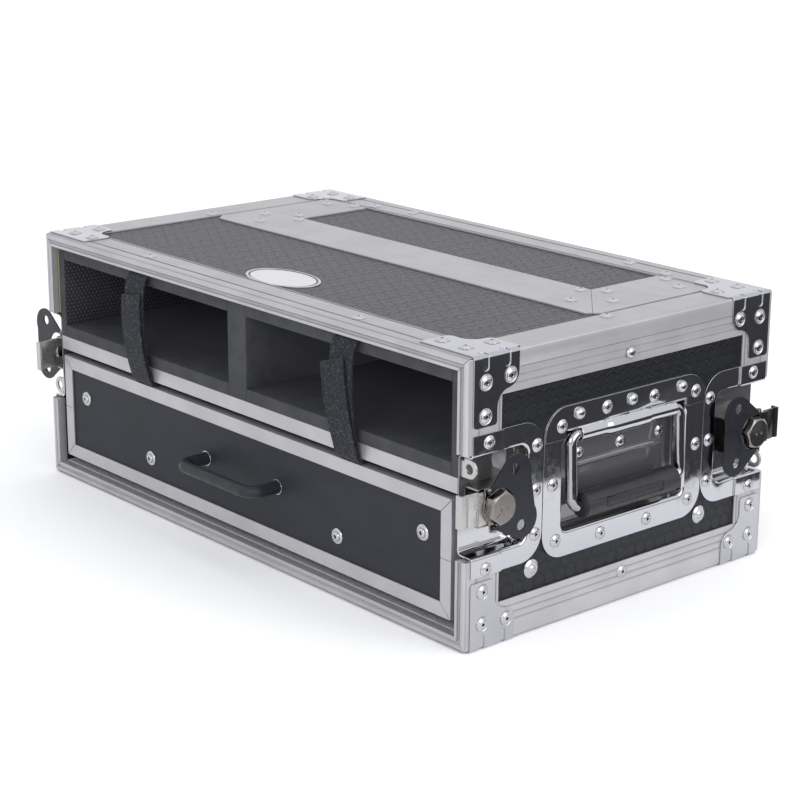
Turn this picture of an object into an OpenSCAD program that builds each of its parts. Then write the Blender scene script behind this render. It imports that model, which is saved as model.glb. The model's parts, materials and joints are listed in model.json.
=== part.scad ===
// Road case with two open bays above a pull-out drawer, in millimetres.
// X runs across the front, Y from the front to the rear, Z up from the underside of the bottom braces.
// A place on a side is given as p, the distance from the nearer face, and z.

/* [Case] */
// Width over the corner braces
case_w = 530; // [515:1:560]
// Depth over the corner braces
case_d = 304.8; // [300:0.1:340]
// Height over the corner braces
case_h = 213; // [210:1:240]
// Thickness of the laminated panels
panel_t = 9; // [8.5:0.5:10]
// Thickness of the extrusions that lie on the panels
trim_t = 1.5; // [1.2:0.1:1.8]
// Rounding of the case's long edges
edge_r = 1.8; // [1:0.1:3]
// Set back of the panels' ends behind the face
panel_set = 2.5; // [2:0.1:3]

/* [Frame extrusion] */
// Width of the flange that lies on the panels
flange_w = 27.5; // [24:0.5:28]
// Depth of the rounded shoulder across the extrusion
shoulder_d = 4.5; // [4:0.1:5]
// Height of the shoulder in front of the face
shoulder_h = 4.8; // [4:0.1:5.5]
// Rounding of the shoulder
shoulder_r = 3; // [2:0.1:3.5]
// Height of the groove's floor in front of the face
groove_h = 3.2; // [2.8:0.1:3.6]
// Thickness of the tongue
tongue_t = 2.4; // [2:0.1:3]
// Height of the tongue in front of the face
tongue_h = 5.2; // [4.8:0.1:6]
// Distance of the tongue's inner face from the outside
tongue_d = 9.8; // [9:0.1:10]

/* [Edge angles] */
// Width of each leg of the long edge angles
angle_w = 30; // [26:0.5:32]
// Depth of the fine grooves along the extrusions
score_h = 0.25; // [0.1:0.05:0.5]
// Width of the fine grooves along the extrusions
score_w = 0.9; // [0.5:0.1:1.5]

/* [Corner braces] */
// Thickness of the brace's sheet
brace_t = 1.2; // [1:0.1:1.5]
// Width of the side plate at the case's edge
brace_w = 42; // [38:0.5:46]
// Gap between the side plate's leg and the latch dish
brace_gap = 4.1; // [3.5:0.1:6]
// Width of the side plate's leg
brace_leg_w = 22; // [18:0.5:24]
// Length of the top plate along the front
brace_top_x = 55; // [50:0.5:60]
// Length of the top plate along the side
brace_top_y = 45; // [42:0.5:50]

/* [Shelf and drawer] */
// Height of the shelf's underside
shelf_z = 113; // [111:0.5:116]
// Thickness of the shelf
shelf_t = 11.5; // [9:0.5:14]
// Gap above the drawer's front
drawer_gap_top = 4.7; // [3.5:0.1:6]
// Gap under the drawer's front
drawer_gap_low = 7.7; // [6:0.1:10]
// Gap beside the drawer's front
drawer_gap_side = 7.3; // [6.5:0.1:10]
// Width of the aluminium trim round the drawer's front
drawer_trim_w = 11; // [9:0.5:14]
// Thickness of the drawer box's boards
box_t = 9; // [7:0.5:12]
// Height of the drawer box's sides
box_h = 76; // [60:1:78]
// Thickness of the drawer's bottom board
bottom_t = 5; // [4:0.5:6]
// Distance between the pull handle's feet
pull_span = 91; // [80:1:120]
// Distance of the pull handle's middle from the case's middle
pull_off = 3.5; // [-5:0.5:5]
// Height of the pull handle
pull_z = 66; // [60:0.5:72]
// Diameter of the pull handle's bar
pull_d = 9.6; // [8:0.2:11]
// Reach of the bar's middle in front of the drawer
pull_reach = 24.5; // [20:0.5:30]

/* [Runners] */
// Distance of the runners' middle below the latch dishes
runner_drop = 6.6; // [6.2:0.1:8]
// Height of the runners
runner_h = 35; // [32:0.5:36]
// Thickness of a runner
runner_w = 12.7; // [12:0.1:13]
// Gap behind the runners
runner_gap = 20.3; // [16:0.1:30]

/* [Foam and straps] */
// Thickness of the foam
foam_t = 10; // [6:0.5:12]
// Thickness of the foam between the bays
divider_t = 23; // [16:0.5:30]
// Width of the hook-and-loop straps
strap_w = 26; // [20:1:30]
// Thickness of a strap
strap_t = 2.2; // [1.5:0.1:2.4]

/* [Handles] */
// Distance of the handle dish's middle below the middle of the side
handle_drop = 0.5; // [0:0.1:1]
// Gap between the handle dish and the latch dishes
dish_gap = 0.65; // [0.5:0.05:1]
// Width of the handle dish's flange beside the opening
handle_side_w = 17; // [16:0.5:19]
// Height of the handle dish's flange
handle_h = 112; // [108:0.5:114]
// Height of the opening from the dish's bottom rim to its top rim
handle_in_h = 72; // [68:0.5:76]
// Depth of the pressed dishes
dish_depth = 12; // [10:0.5:12.5]
// Thickness of the pressed sheet
dish_t = 1.2; // [1:0.1:1.4]
// Diameter of the handle's wire
wire_d = 8.8; // [8:0.1:9]
// Diameter of the rubber grip
grip_d = 19; // [17:0.5:20]
// Distance from the axle to the middle of the grip
bail_drop = 53; // [50:0.5:56]
// Distance from a leg's middle to the end of the dish's opening
bail_gap = 9.75; // [9.25:0.25:12]

/* [Latches] */
// Distance of the latches' spindles below the middle of the side
latch_drop = 1; // [0.5:0.1:1.5]
// Distance of a spindle from the face
latch_p = 19; // [18:0.5:20]
// Length of the latch dish from the face, over its flange
latch_l = 68.5; // [66:0.5:69]
// Length of the opening in the latch dish
latch_in_l = 56; // [54:0.5:57]
// Height of the latch dish over its flanges
latch_h = 102.8; // [98:0.2:103]
// Height of the opening in the latch dish
latch_in_h = 76.1; // [72:0.1:78]
// Size of the spindle's nut across its flats
nut_af = 22; // [19:0.5:22.5]
// Width of the hook
hook_w = 24; // [20:0.5:26]
// Reach of the hook beyond the face
hook_reach = 16.5; // [14:0.5:18]
// Height of the spindle's nut
nut_h = 6.8; // [5:0.1:7]

/* [Hidden] */
$fn = 48;
LEFT = -1;
RIGHT = 1;
FRONT = -1;
REAR = 1;
// Overshoot of a cut past the face that it opens
eps = 1;

// Planes of the case, from the outside in
hw = case_w / 2;
hd = case_d / 2;
trim_x = hw - brace_t;
trim_z0 = brace_t;
trim_z1 = case_h - brace_t;
panel_x = trim_x - trim_t;
panel_z0 = trim_z0 + trim_t;
panel_z1 = trim_z1 - trim_t;
panel_y = hd - panel_set;
inner_x = panel_x - panel_t;
inner_z0 = panel_z0 + panel_t;
inner_z1 = panel_z1 - panel_t;
shelf_top = shelf_z + shelf_t;
strip_t = 1.5;
latch_z = case_h / 2 - latch_drop;
brace_leg = (case_h - latch_h) / 2 - brace_gap;
bolt_r = 2.5;

// Dishes: the flange lies on the panel, the floor's visible face lies dish_depth below it
flange_x = panel_x + dish_t;
floor_x = flange_x - dish_depth;
back_x = floor_x - dish_t;
rim_r = 2.5;
floor_r = 3;
dish_r = 20;
pocket = 0.1;

// Handle dish and the axle in its channel
handle_z = case_h / 2 - handle_drop;
handle_w = case_d - 2 * (latch_l + dish_gap);
handle_in_w = handle_w - 2 * handle_side_w;
bail_span = handle_in_w - 2 * bail_gap;
handle_top_w = 23.5;
handle_in_z1 = handle_z + handle_h / 2 - handle_top_w;
handle_in_z0 = handle_in_z1 - handle_in_h;
handle_in_r = 8;
axle_x = flange_x - 1;
axle_z = handle_in_z1 + 0.5;
channel_r = wire_d / 2 + 0.4;
channel_y = bail_span / 2 + 5.5;
bulge_y = bail_span / 6;
bulge_h = 1.2;
bulge_run = 7;
// Half a block that takes in the whole channel
channel_box = 9;
bail_bend = 7;
leg_clear = bail_span / 2 - bail_bend;
bail_lean = 3.5;
grip_half = bail_span / 2 - bail_bend - 0.5;
cover_z0 = axle_z - 1;

// Latches
latch_z0 = latch_z - latch_in_h / 2;
latch_z1 = latch_z + latch_in_h / 2;
latch_rise = 0.4;
latch_low = latch_z - latch_h / 2 + latch_rise;
latch_in_r = 10;
step_p = flange_w;
raised_x = trim_x + dish_t;
base_t = 1.5;
boss_r = 8;
hook_t = 2;
hook_x = raised_x + 1.3;
hook_slot = 11;
half_drawn = 5.5;
part_turn = 10;
plate_x = hook_x + hook_t + 0.3;
plate_t = 1.5;
plate_r = 13;
nut_x = plate_x + plate_t;
nut_chamfer = 1.6;
nut_turn = -20;
neck_r = 5;
wing_t = 1.5;
wing_x = nut_x + 0.2;
wing_hinge_q = -6.5;
wing_hinge_x = wing_x + wing_t / 2;
wing_pin_r = 0.8;
knuckle_r = 1.7;
knuckle_in = plate_r - 0.6;
knuckle_mid = knuckle_in + 2.2;
knuckle_out = knuckle_mid + 2.2;

// Drawer
drawer_half = inner_x - drawer_gap_side;
front_y = -hd - strip_t;
drawer_z0 = inner_z0 + drawer_gap_low;
drawer_z1 = shelf_z - drawer_gap_top;
board_y = front_y + strip_t;
box_x = inner_x - runner_w;
box_z0 = drawer_z0 + 3;
box_back = panel_y - 12;
box_bottom_z = box_z0 + 4;
groove_depth = box_t / 3;

// Runners. The widths run from the side panel toward the drawer.
runner_y = board_y + box_t + 3;
runner_end = panel_y - runner_gap;
runner_z = latch_low - runner_drop;
runner_sheet = 1.2;
ball_gap = 0.3;
ball_in = 5.5;
ball_out = 8.5;
race = 1.8;
outer_lip = 2.5;
middle_in_x = 3.2;
middle_lip = 2;
middle_short = 5;
front_bolt_gap = 47.8;
rear_bolt_gap = 45.2;
bolt_y = [runner_y + front_bolt_gap, runner_end - rear_bolt_gap];

// Rivets
rivet_r = 4.7;
rivet_h = 1.8;
rivet_hole_r = 1.3;

metal = [0.74, 0.74, 0.76];
chrome = [0.62, 0.64, 0.68];
laminate = [0.17, 0.17, 0.19];
dark_foam = [0.25, 0.25, 0.27];

module on_side(side) {
    if (side < 0) mirror([1, 0, 0]) children();
    else children();
}

module on_end(end) {
    if (end > 0) mirror([0, 1, 0]) children();
    else children();
}

// Puts a latch drawn at the right front into one of the four corners, with p along Y
module at_latch(side, end) {
    on_side(side) on_end(end) translate([0, -hd, 0]) children();
}

// Raises an outline drawn in Y and Z along X
module along_x(x, h) {
    translate([x, 0, 0]) rotate([90, 0, 90]) linear_extrude(h) children();
}

// Raises an outline drawn in X and Z along Y
module along_y(y, h) {
    translate([0, y + h, 0]) rotate([90, 0, 0]) linear_extrude(h) children();
}

module rounded(w, h, r) {
    translate([r, 0]) square([w - 2 * r, h]);
    translate([0, r]) square([w, h - 2 * r]);
    for (x = [r, w - r], y = [r, h - r]) translate([x, y]) circle(r);
}

module block(x0, x1, y0, y1, z0, z1) {
    translate([x0, y0, z0]) cube([x1 - x0, y1 - y0, z1 - z0]);
}

// Outline of the case across X and Z, with its rounded long edges
module case_outline() {
    translate([-trim_x, trim_z0]) rounded(2 * trim_x, trim_z1 - trim_z0, edge_r);
}

// Panels

module top_panel() {
    color(laminate) block(-panel_x, panel_x, -panel_y, panel_y, inner_z1, panel_z1);
}

module bottom_panel() {
    color(laminate) block(-panel_x, panel_x, -panel_y, panel_y, panel_z0, inner_z0);
}

module latch_opening() {
    translate([-latch_in_r - eps, latch_z0]) rounded(latch_in_l + latch_in_r + eps, latch_in_h, latch_in_r);
}

module handle_opening() {
    translate([-handle_in_w / 2, handle_in_z0]) rounded(handle_in_w, handle_in_h, handle_in_r);
}

// Space of the axle's channel in the panel behind it
module channel_space(grow) {
    r = channel_r + dish_t + grow;
    translate([axle_x, channel_y + grow, axle_z]) rotate([90, 0, 0])
        cylinder(h = 2 * (channel_y + grow), r = r);
}

module side_panel(side) {
    color(laminate) on_side(side) difference() {
        block(inner_x, panel_x, -panel_y, panel_y, inner_z0, inner_z1);
        for (end = [FRONT, REAR]) on_end(end) translate([0, -hd, 0])
            along_x(inner_x - eps, panel_t + 2 * eps) latch_opening();
        along_x(inner_x - eps, panel_t + 2 * eps) handle_opening();
        channel_space(pocket);
        for (y = bolt_y) translate([inner_x - eps, y, runner_z]) rotate([0, 90, 0])
            cylinder(h = panel_t + 2 * eps, r = bolt_r + pocket);
    }
}

// Frame extrusions. d runs inward from the outside of the case, f runs forward from the face.

module frame_section() {
    difference() {
        union() {
            translate([0, -flange_w]) square([trim_t, flange_w]);
            translate([0, -panel_set]) square([tongue_d, panel_set + groove_h]);
            square([shoulder_d, shoulder_h - shoulder_r]);
            translate([shoulder_r, 0]) square([shoulder_d - shoulder_r, shoulder_h]);
            translate([shoulder_r, shoulder_h - shoulder_r]) circle(shoulder_r);
            translate([tongue_d - tongue_t, 0]) square([tongue_t, tongue_h]);
        }
        translate([trim_t, -panel_set + trim_t])
            square([shoulder_d - 1 - trim_t, panel_set + shoulder_h - 1.3 - trim_t]);
        translate([-eps, -flange_w / 4]) square([eps + score_h, score_w]);
        translate([-eps, -flange_w + 2]) square([eps + score_h, score_w]);
    }
}

mitre = tongue_d + 1;
// Visible seam between a rail and a post
mitre_seam = 0.3;

// The side of the frame that an outline in X and Z leaves, cut at 45 degrees at its ends
module mitred(points, end) {
    on_end(end) intersection() {
        children();
        along_y(-hd - tongue_h - eps, tongue_h + flange_w + 2 * eps) intersection() {
            case_outline();
            polygon(points);
        }
    }
}

module top_rail(end) {
    points = [[-trim_x, trim_z1], [trim_x, trim_z1], [trim_x - mitre, trim_z1 - mitre],
        [-trim_x + mitre, trim_z1 - mitre]];
    mitred(points, end) translate([-trim_x, -hd, trim_z1]) mirror([0, 1, 0]) rotate([0, 90, 0])
        linear_extrude(2 * trim_x) frame_section();
}

module bottom_rail(end) {
    translate([0, 0, case_h]) mirror([0, 0, 1]) top_rail(end);
}

module rails(end) {
    color(metal) {
        top_rail(end);
        bottom_rail(end);
    }
}

module front_rails() { rails(FRONT); }
module rear_rails() { rails(REAR); }

// A post is cut away where the latch dish opens to the face
module post(end) {
    low = trim_z0 + mitre_seam;
    high = trim_z1 - mitre_seam;
    points = [[trim_x, low], [trim_x, high], [trim_x - mitre, high - mitre], [trim_x - mitre, low + mitre]];
    difference() {
        mitred(points, end) translate([trim_x, -hd, trim_z0]) rotate([0, 0, 180])
            linear_extrude(trim_z1 - trim_z0) frame_section();
        on_end(end) block(trim_x - mitre - eps, trim_x + eps, -hd - tongue_h - eps, -hd + flange_w + eps,
            latch_z0, latch_z1);
    }
}

module posts(end) {
    color(metal) for (side = [LEFT, RIGHT]) on_side(side) post(end);
}

module front_posts() { posts(FRONT); }
module rear_posts() { posts(REAR); }

module edge_angle() {
    difference() {
        intersection() {
            case_outline();
            union() {
                translate([trim_x - angle_w, panel_z1]) square([angle_w, trim_t]);
                translate([panel_x, trim_z1 - angle_w]) square([trim_t, angle_w]);
            }
        }
        for (d = [0.47, 0.65, 0.83] * angle_w) translate([trim_x - score_h, trim_z1 - d])
            square([eps, score_w]);
    }
}

module edge_angles() {
    run = hd - flange_w;
    color(metal) for (side = [LEFT, RIGHT]) on_side(side) {
        along_y(-run, 2 * run) edge_angle();
        translate([0, 0, case_h]) mirror([0, 0, 1]) along_y(-run, 2 * run) edge_angle();
    }
}

// Corner braces, drawn at the right front of the top

brace_r = 11;
brace_in_r = 12;
brace_neck = 27;
brace_end_r = 3;

module brace_side_outline() {
    turn = sqrt(pow(brace_r + brace_in_r, 2) - pow(brace_leg_w + brace_in_r - brace_w + brace_r, 2));
    difference() {
        union() {
            square([brace_w, brace_neck - brace_r]);
            square([brace_w - brace_r, brace_neck]);
            translate([brace_w - brace_r, brace_neck - brace_r]) circle(brace_r);
            square([brace_leg_w + brace_r, brace_neck + brace_r]);
            square([brace_leg_w, brace_leg - brace_end_r]);
            translate([brace_end_r, 0]) square([brace_leg_w - 2 * brace_end_r, brace_leg]);
            for (a = [brace_end_r, brace_leg_w - brace_end_r]) translate([a, brace_leg - brace_end_r])
                circle(brace_end_r);
        }
        translate([brace_leg_w + brace_in_r, brace_neck - brace_r + turn]) circle(brace_in_r);
    }
}

brace_band_y = 27;
brace_band_x = 32;
brace_top_r = 5;

module brace_top_outline() {
    difference() {
        union() {
            square([brace_top_x - brace_top_r, brace_band_y]);
            square([brace_top_x, brace_band_y - brace_top_r]);
            translate([brace_top_x - brace_top_r, brace_band_y - brace_top_r]) circle(brace_top_r);
            square([brace_band_x - brace_top_r, brace_top_y]);
            square([brace_band_x, brace_top_y - brace_top_r]);
            translate([brace_band_x - brace_top_r, brace_top_y - brace_top_r]) circle(brace_top_r);
            square([brace_band_x + brace_in_r, brace_band_y + brace_in_r]);
        }
        translate([brace_band_x + brace_in_r, brace_band_y + brace_in_r]) circle(brace_in_r);
        translate([brace_band_x, brace_band_y + brace_in_r]) square(brace_in_r + eps);
        translate([brace_band_x + brace_in_r, brace_band_y]) square([eps, brace_in_r + eps]);
    }
}

bend_r = edge_r + brace_t;
gusset_at = [11, 31];
gusset_w = 5.5;
gusset_t = 0.8;
gusset_down = 6;
gusset_in = 1.5;

// Groove pressed over the bend, which stiffens the brace
module brace_gusset(a) {
    along_x(hw - gusset_t, gusset_t + eps) translate([-hd + a, case_h - bend_r - gusset_down]) {
        translate([-gusset_w / 2, 0]) square([gusset_w, gusset_down + 0.1]);
        circle(d = gusset_w);
    }
    translate([hw - bend_r - gusset_in, -hd + a, case_h - gusset_t]) linear_extrude(gusset_t + eps) {
        translate([0, -gusset_w / 2]) square([gusset_in + 0.1, gusset_w]);
        circle(d = gusset_w);
    }
    along_y(-hd + a - gusset_w / 2, gusset_w) translate([hw - bend_r, case_h - bend_r]) difference() {
        square(bend_r + eps);
        circle(bend_r - gusset_t);
    }
}

module bent_plates() {
    // The plate on the side
    translate([hw - brace_t, -hd, case_h]) rotate([90, 0, 90]) linear_extrude(brace_t)
        difference() {
            mirror([0, 1]) brace_side_outline();
            translate([-eps, -bend_r]) square([brace_w + 2 * eps, bend_r + eps]);
        }
    // The plate on the top
    translate([hw, -hd, case_h - brace_t]) linear_extrude(brace_t) difference() {
        mirror([1, 0]) brace_top_outline();
        translate([-bend_r, -eps]) square([bend_r + eps, brace_top_y + 2 * eps]);
    }
    // The bend between them
    along_y(-hd, brace_w) intersection() {
        translate([hw - bend_r, case_h - bend_r]) difference() {
            circle(bend_r);
            circle(edge_r);
        }
        translate([hw - bend_r, case_h - bend_r]) square(bend_r);
    }
}

module brace() {
    difference() {
        bent_plates();
        for (a = gusset_at) brace_gusset(a);
    }
}

module braces() {
    for (side = [LEFT, RIGHT], end = [FRONT, REAR]) on_side(side) on_end(end) brace();
}

module corner_braces_top() { color(metal) braces(); }

module corner_braces_bottom() {
    color(metal) translate([0, 0, case_h]) mirror([0, 0, 1]) braces();
}

// Flat strips riveted on the top, round a rectangular field

hatch_y = 147.5;
hatch_w = 55.5;
hatch_side = 34;
hatch_half = hw - hatch_side;
hatch_cut = 8.5;
mitre_gap = 0.2;

module hatch_front_strip() {
    mid = hatch_cut / 2;
    polygon([[-hatch_half + hatch_cut, 0], [hatch_half - hatch_cut, 0], [hatch_half - mid, mid],
        [hatch_half - hatch_w, hatch_w], [-hatch_half + hatch_w, hatch_w], [-hatch_half + mid, mid]]);
}

module hatch_side_strip() {
    mid = hatch_cut / 2;
    rear = case_d - flange_w - hatch_y - 1;
    polygon([[hatch_half - mid, mid + mitre_gap], [hatch_half, hatch_cut + mitre_gap], [hatch_half, rear],
        [hatch_half - hatch_w, rear], [hatch_half - hatch_w, hatch_w + mitre_gap]]);
}

module hatch_trim() {
    color(metal) translate([0, -hd + hatch_y, panel_z1]) linear_extrude(trim_t) {
        hatch_front_strip();
        for (side = [0, 1]) mirror([side, 0]) hatch_side_strip();
    }
}

plate_at = [-6, 50];
oval_size = [75, 45];
oval_t = 1;

module oval_plate() {
    rim = 2;
    color(metal) translate([plate_at[0], -hd + plate_at[1], panel_z1]) difference() {
        linear_extrude(oval_t) polygon([for (i = [0:71]) [oval_size[0] / 2 * cos(i * 5),
            oval_size[1] / 2 * sin(i * 5)]]);
        translate([0, 0, oval_t - 0.3]) linear_extrude(1)
            polygon([for (i = [0:71]) [(oval_size[0] / 2 - rim) * cos(i * 5),
                (oval_size[1] / 2 - rim) * sin(i * 5)]]);
    }
}

// Shelf. Its ends make room for the backs of the pressed dishes.

module dish_backs() {
    for (side = [LEFT, RIGHT]) on_side(side) {
        for (end = [FRONT, REAR]) on_end(end)
            block(back_x - pocket, inner_x + eps, -hd - eps, -hd + latch_in_l, latch_z0, latch_z1);
        block(back_x - pocket, inner_x + eps, -handle_in_w / 2, handle_in_w / 2, handle_in_z0,
            handle_in_z1);
    }
}

module shelf_board() {
    color(laminate) difference() {
        block(-inner_x, inner_x, -hd + strip_t, hd - strip_t, shelf_z, shelf_top);
        dish_backs();
        for (side = [LEFT, RIGHT], end = [FRONT, REAR]) on_side(side) on_end(end)
            block(inner_x - 1, inner_x + eps, -hd, -panel_y + eps, shelf_z - eps, shelf_top + eps);
    }
}

module shelf_strips() {
    half = back_x - 0.3;
    color(metal) for (end = [FRONT, REAR]) on_end(end)
        block(-half, half, -hd, -hd + strip_t, shelf_z, shelf_top);
}

// Foam

foam_x = inner_x - foam_t;

module foam_side(side) {
    color(dark_foam) difference() {
        on_side(side) block(foam_x, inner_x, -hd, hd, shelf_top, inner_z1);
        dish_backs();
    }
}

module foam_side_left() { foam_side(LEFT); }
module foam_side_right() { foam_side(RIGHT); }

module foam_divider() {
    color(dark_foam) block(-divider_t / 2, divider_t / 2, -hd, hd, shelf_top, inner_z1);
}

module foam_floor() {
    color(dark_foam) for (side = [LEFT, RIGHT]) on_side(side)
        block(divider_t / 2, foam_x, -hd, hd, shelf_top, shelf_top + foam_t);
}

module foam_top() {
    color(dark_foam) for (side = [LEFT, RIGHT]) on_side(side)
        block(divider_t / 2, foam_x, -hd, hd, inner_z1 - foam_t, inner_z1);
}

// Pressed dishes, drawn with the plan in X and Y and the floor's visible face at z = 0

module quarter_ring(r_in, r_out) {
    intersection() {
        difference() {
            circle(r_out);
            circle(r_in);
        }
        square(r_out + eps);
    }
}

// The sheet from the edge of the floor up the wall and over the rim, with the wall at x = 0
module dish_section(depth) {
    translate([-floor_r, floor_r]) mirror([0, 1]) quarter_ring(floor_r, floor_r + dish_t);
    translate([0, floor_r]) square([dish_t, depth - floor_r - rim_r]);
    translate([rim_r, depth - rim_r]) mirror([1, 0]) quarter_ring(rim_r - dish_t, rim_r);
}

// A straight wall of the given length that faces the middle of the dish
module dish_run(length, depth) {
    rotate([90, 0, 0]) linear_extrude(length) dish_section(depth);
}

module dish_corner(r, depth) {
    rotate_extrude(angle = 90) translate([r, 0]) dish_section(depth);
}

handle_wall_w = handle_in_w - 2 * rim_r;
handle_wall_h = handle_in_h - 2 * rim_r;
handle_wall_r = handle_in_r - rim_r;

module handle_pressing() {
    half_w = handle_wall_w / 2 - handle_wall_r;
    half_h = handle_wall_h / 2 - handle_wall_r;
    for (turn = [0, 180]) rotate(turn) {
        translate([handle_wall_w / 2, half_h, 0]) dish_run(2 * half_h, dish_depth);
        rotate(90) translate([handle_wall_h / 2, half_w, 0]) dish_run(2 * half_w, dish_depth);
        translate([half_w, half_h, 0]) dish_corner(handle_wall_r, dish_depth);
        translate([half_w, -half_h, 0]) rotate(-90) dish_corner(handle_wall_r, dish_depth);
    }
    floor_w = handle_wall_w - 2 * floor_r;
    floor_h = handle_wall_h - 2 * floor_r;
    translate([0, 0, -dish_t]) linear_extrude(dish_t) translate([-floor_w / 2, -floor_h / 2])
        rounded(floor_w, floor_h, handle_wall_r - floor_r);
    translate([0, 0, dish_depth - dish_t]) linear_extrude(dish_t) difference() {
        translate([-handle_w / 2, handle_z - handle_h / 2 - handle_mid])
            rounded(handle_w, handle_h, dish_r);
        translate([-handle_in_w / 2, -handle_in_h / 2]) rounded(handle_in_w, handle_in_h, handle_in_r);
    }
}

handle_mid = (handle_in_z0 + handle_in_z1) / 2;
rib_r = 3;
rib_z = handle_mid + 8.5;
rib_half = handle_wall_w / 2 - 14;

// The half-round channel that carries the axle, between two planes in X
module axle_channel(x0, x1) {
    intersection() {
        difference() {
            translate([axle_x, channel_y, axle_z]) rotate([90, 0, 0])
                cylinder(h = 2 * channel_y, r = channel_r + dish_t);
            translate([axle_x, channel_y + eps, axle_z]) rotate([90, 0, 0])
                cylinder(h = 2 * channel_y + 2 * eps, r = channel_r);
        }
        block(x0, x1, -channel_y - eps, channel_y + eps, axle_z - channel_box, axle_z + channel_box);
    }
}

module handle_dish(side) {
    color(chrome) on_side(side) difference() {
        union() {
            difference() {
                translate([floor_x, 0, handle_mid]) rotate([90, 0, 90]) handle_pressing();
                translate([axle_x, channel_y, axle_z]) rotate([90, 0, 0])
                    cylinder(h = 2 * channel_y, r = channel_r + dish_t / 2);
            }
            axle_channel(floor_x, flange_x);
            // Stiffening rib across the floor
            intersection() {
                translate([floor_x - rib_r / 2, -rib_half, rib_z]) rotate([-90, 0, 0])
                    cylinder(h = 2 * rib_half, r = rib_r);
                block(floor_x - dish_t / 2, floor_x + rib_r, -rib_half, rib_half, rib_z - rib_r,
                    rib_z + rib_r);
            }
        }
        // Room for the legs of the bail at the ends of the channel
        for (end = [FRONT, REAR]) on_end(end)
            block(axle_x - wire_d / 2 - 0.6, flange_x + eps, -channel_y - 0.5, -leg_clear,
                axle_z - channel_box, axle_z);
    }
}

module handle_dish_left() { handle_dish(LEFT); }
module handle_dish_right() { handle_dish(RIGHT); }

// The cover's half of the channel, fuller in the middle
module cover_channel() {
    r = channel_r + dish_t;
    translate([axle_x, channel_y, axle_z]) rotate([90, 0, 0]) cylinder(h = 2 * channel_y, r = r);
    translate([axle_x, bulge_y, axle_z]) rotate([90, 0, 0]) cylinder(h = 2 * bulge_y, r = r + bulge_h);
    for (end = [FRONT, REAR]) on_end(end) translate([axle_x, -bulge_y, axle_z]) rotate([90, 0, 0])
        cylinder(h = bulge_run, r1 = r + bulge_h, r2 = r);
}

module handle_cover(side) {
    top = handle_z + handle_h / 2;
    color(chrome) on_side(side) difference() {
        union() {
            along_x(flange_x, dish_t) intersection() {
                translate([-handle_w / 2, top - handle_h]) rounded(handle_w, handle_h, dish_r);
                translate([-handle_w / 2, cover_z0]) square([handle_w, handle_h]);
            }
            cover_channel();
        }
        translate([axle_x, channel_y + eps, axle_z]) rotate([90, 0, 0])
            cylinder(h = 2 * channel_y + 2 * eps, r = channel_r);
        block(axle_x - channel_box, flange_x, -channel_y - eps, channel_y + eps, axle_z - channel_box,
            axle_z + channel_box);
        for (end = [FRONT, REAR]) on_end(end)
            block(flange_x - eps, axle_x + channel_box, -channel_y - eps, -leg_clear,
                axle_z - channel_box, axle_z + channel_r + 0.1);
    }
}

module handle_cover_left() { handle_cover(LEFT); }
module handle_cover_right() { handle_cover(RIGHT); }

// The bail, drawn about its axle: the legs hang down from it and lean out a little

module quarter_wire(r, d) {
    rotate_extrude(angle = 90) translate([r, 0]) circle(d = d);
}

module on_axle(side) {
    on_side(side) translate([axle_x, 0, axle_z]) rotate([0, -bail_lean, 0]) children();
}

module handle_bail(side) {
    leg = bail_span / 2;
    color(chrome) on_axle(side) {
        translate([0, -leg + bail_bend, 0]) rotate([-90, 0, 0])
            cylinder(h = 2 * (leg - bail_bend), d = wire_d);
        for (end = [FRONT, REAR]) on_end(end) {
            translate([0, -leg + bail_bend, -bail_bend]) rotate([0, -90, 0]) rotate([0, 0, -90])
                quarter_wire(bail_bend, wire_d);
            translate([0, -leg, -bail_drop + bail_bend])
                cylinder(h = bail_drop - 2 * bail_bend, d = wire_d);
            translate([0, -leg + bail_bend, -bail_drop + bail_bend]) rotate([0, -90, 0])
                rotate([0, 0, 180]) quarter_wire(bail_bend, wire_d);
        }
        translate([0, -leg + bail_bend, -bail_drop]) rotate([-90, 0, 0])
            cylinder(h = 2 * (leg - bail_bend), d = wire_d);
    }
}

module handle_bail_left() { handle_bail(LEFT); }
module handle_bail_right() { handle_bail(RIGHT); }

grip_panel = [60, 9];

module handle_grip(side) {
    color("black") on_axle(side) translate([0, 0, -bail_drop]) difference() {
        union() {
            translate([0, -grip_half + 1, 0]) rotate([-90, 0, 0])
                cylinder(h = 2 * grip_half - 2, d = grip_d);
            translate([0, -grip_half, 0]) rotate([-90, 0, 0]) cylinder(h = 2 * grip_half, d = grip_d - 2);
        }
        translate([0, -grip_half - eps, 0]) rotate([-90, 0, 0])
            cylinder(h = 2 * grip_half + 2 * eps, d = wire_d);
        // Plain framed panel on the outer face
        along_x(grip_d / 2 - 0.8, 2) difference() {
            translate([-grip_panel[0] / 2, -grip_panel[1] / 2]) rounded(grip_panel[0], grip_panel[1], 2);
            translate([1 - grip_panel[0] / 2, 1 - grip_panel[1] / 2])
                rounded(grip_panel[0] - 2, grip_panel[1] - 2, 1);
        }
    }
}

module handle_grip_left() { handle_grip(LEFT); }
module handle_grip_right() { handle_grip(RIGHT); }

// Latch dishes, open to the face. The flange steps up over the frame extrusion.

latch_wall_l = latch_in_l - rim_r;
latch_wall_h = latch_in_h - 2 * rim_r;
latch_wall_r = latch_in_r - rim_r;

module latch_flange_outline() {
    difference() {
        translate([-dish_r - eps, latch_low - latch_z]) rounded(latch_l + dish_r + eps, latch_h, dish_r);
        translate([-latch_in_r - eps, -latch_in_h / 2])
            rounded(latch_in_l + latch_in_r + eps, latch_in_h, latch_in_r);
    }
}

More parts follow.
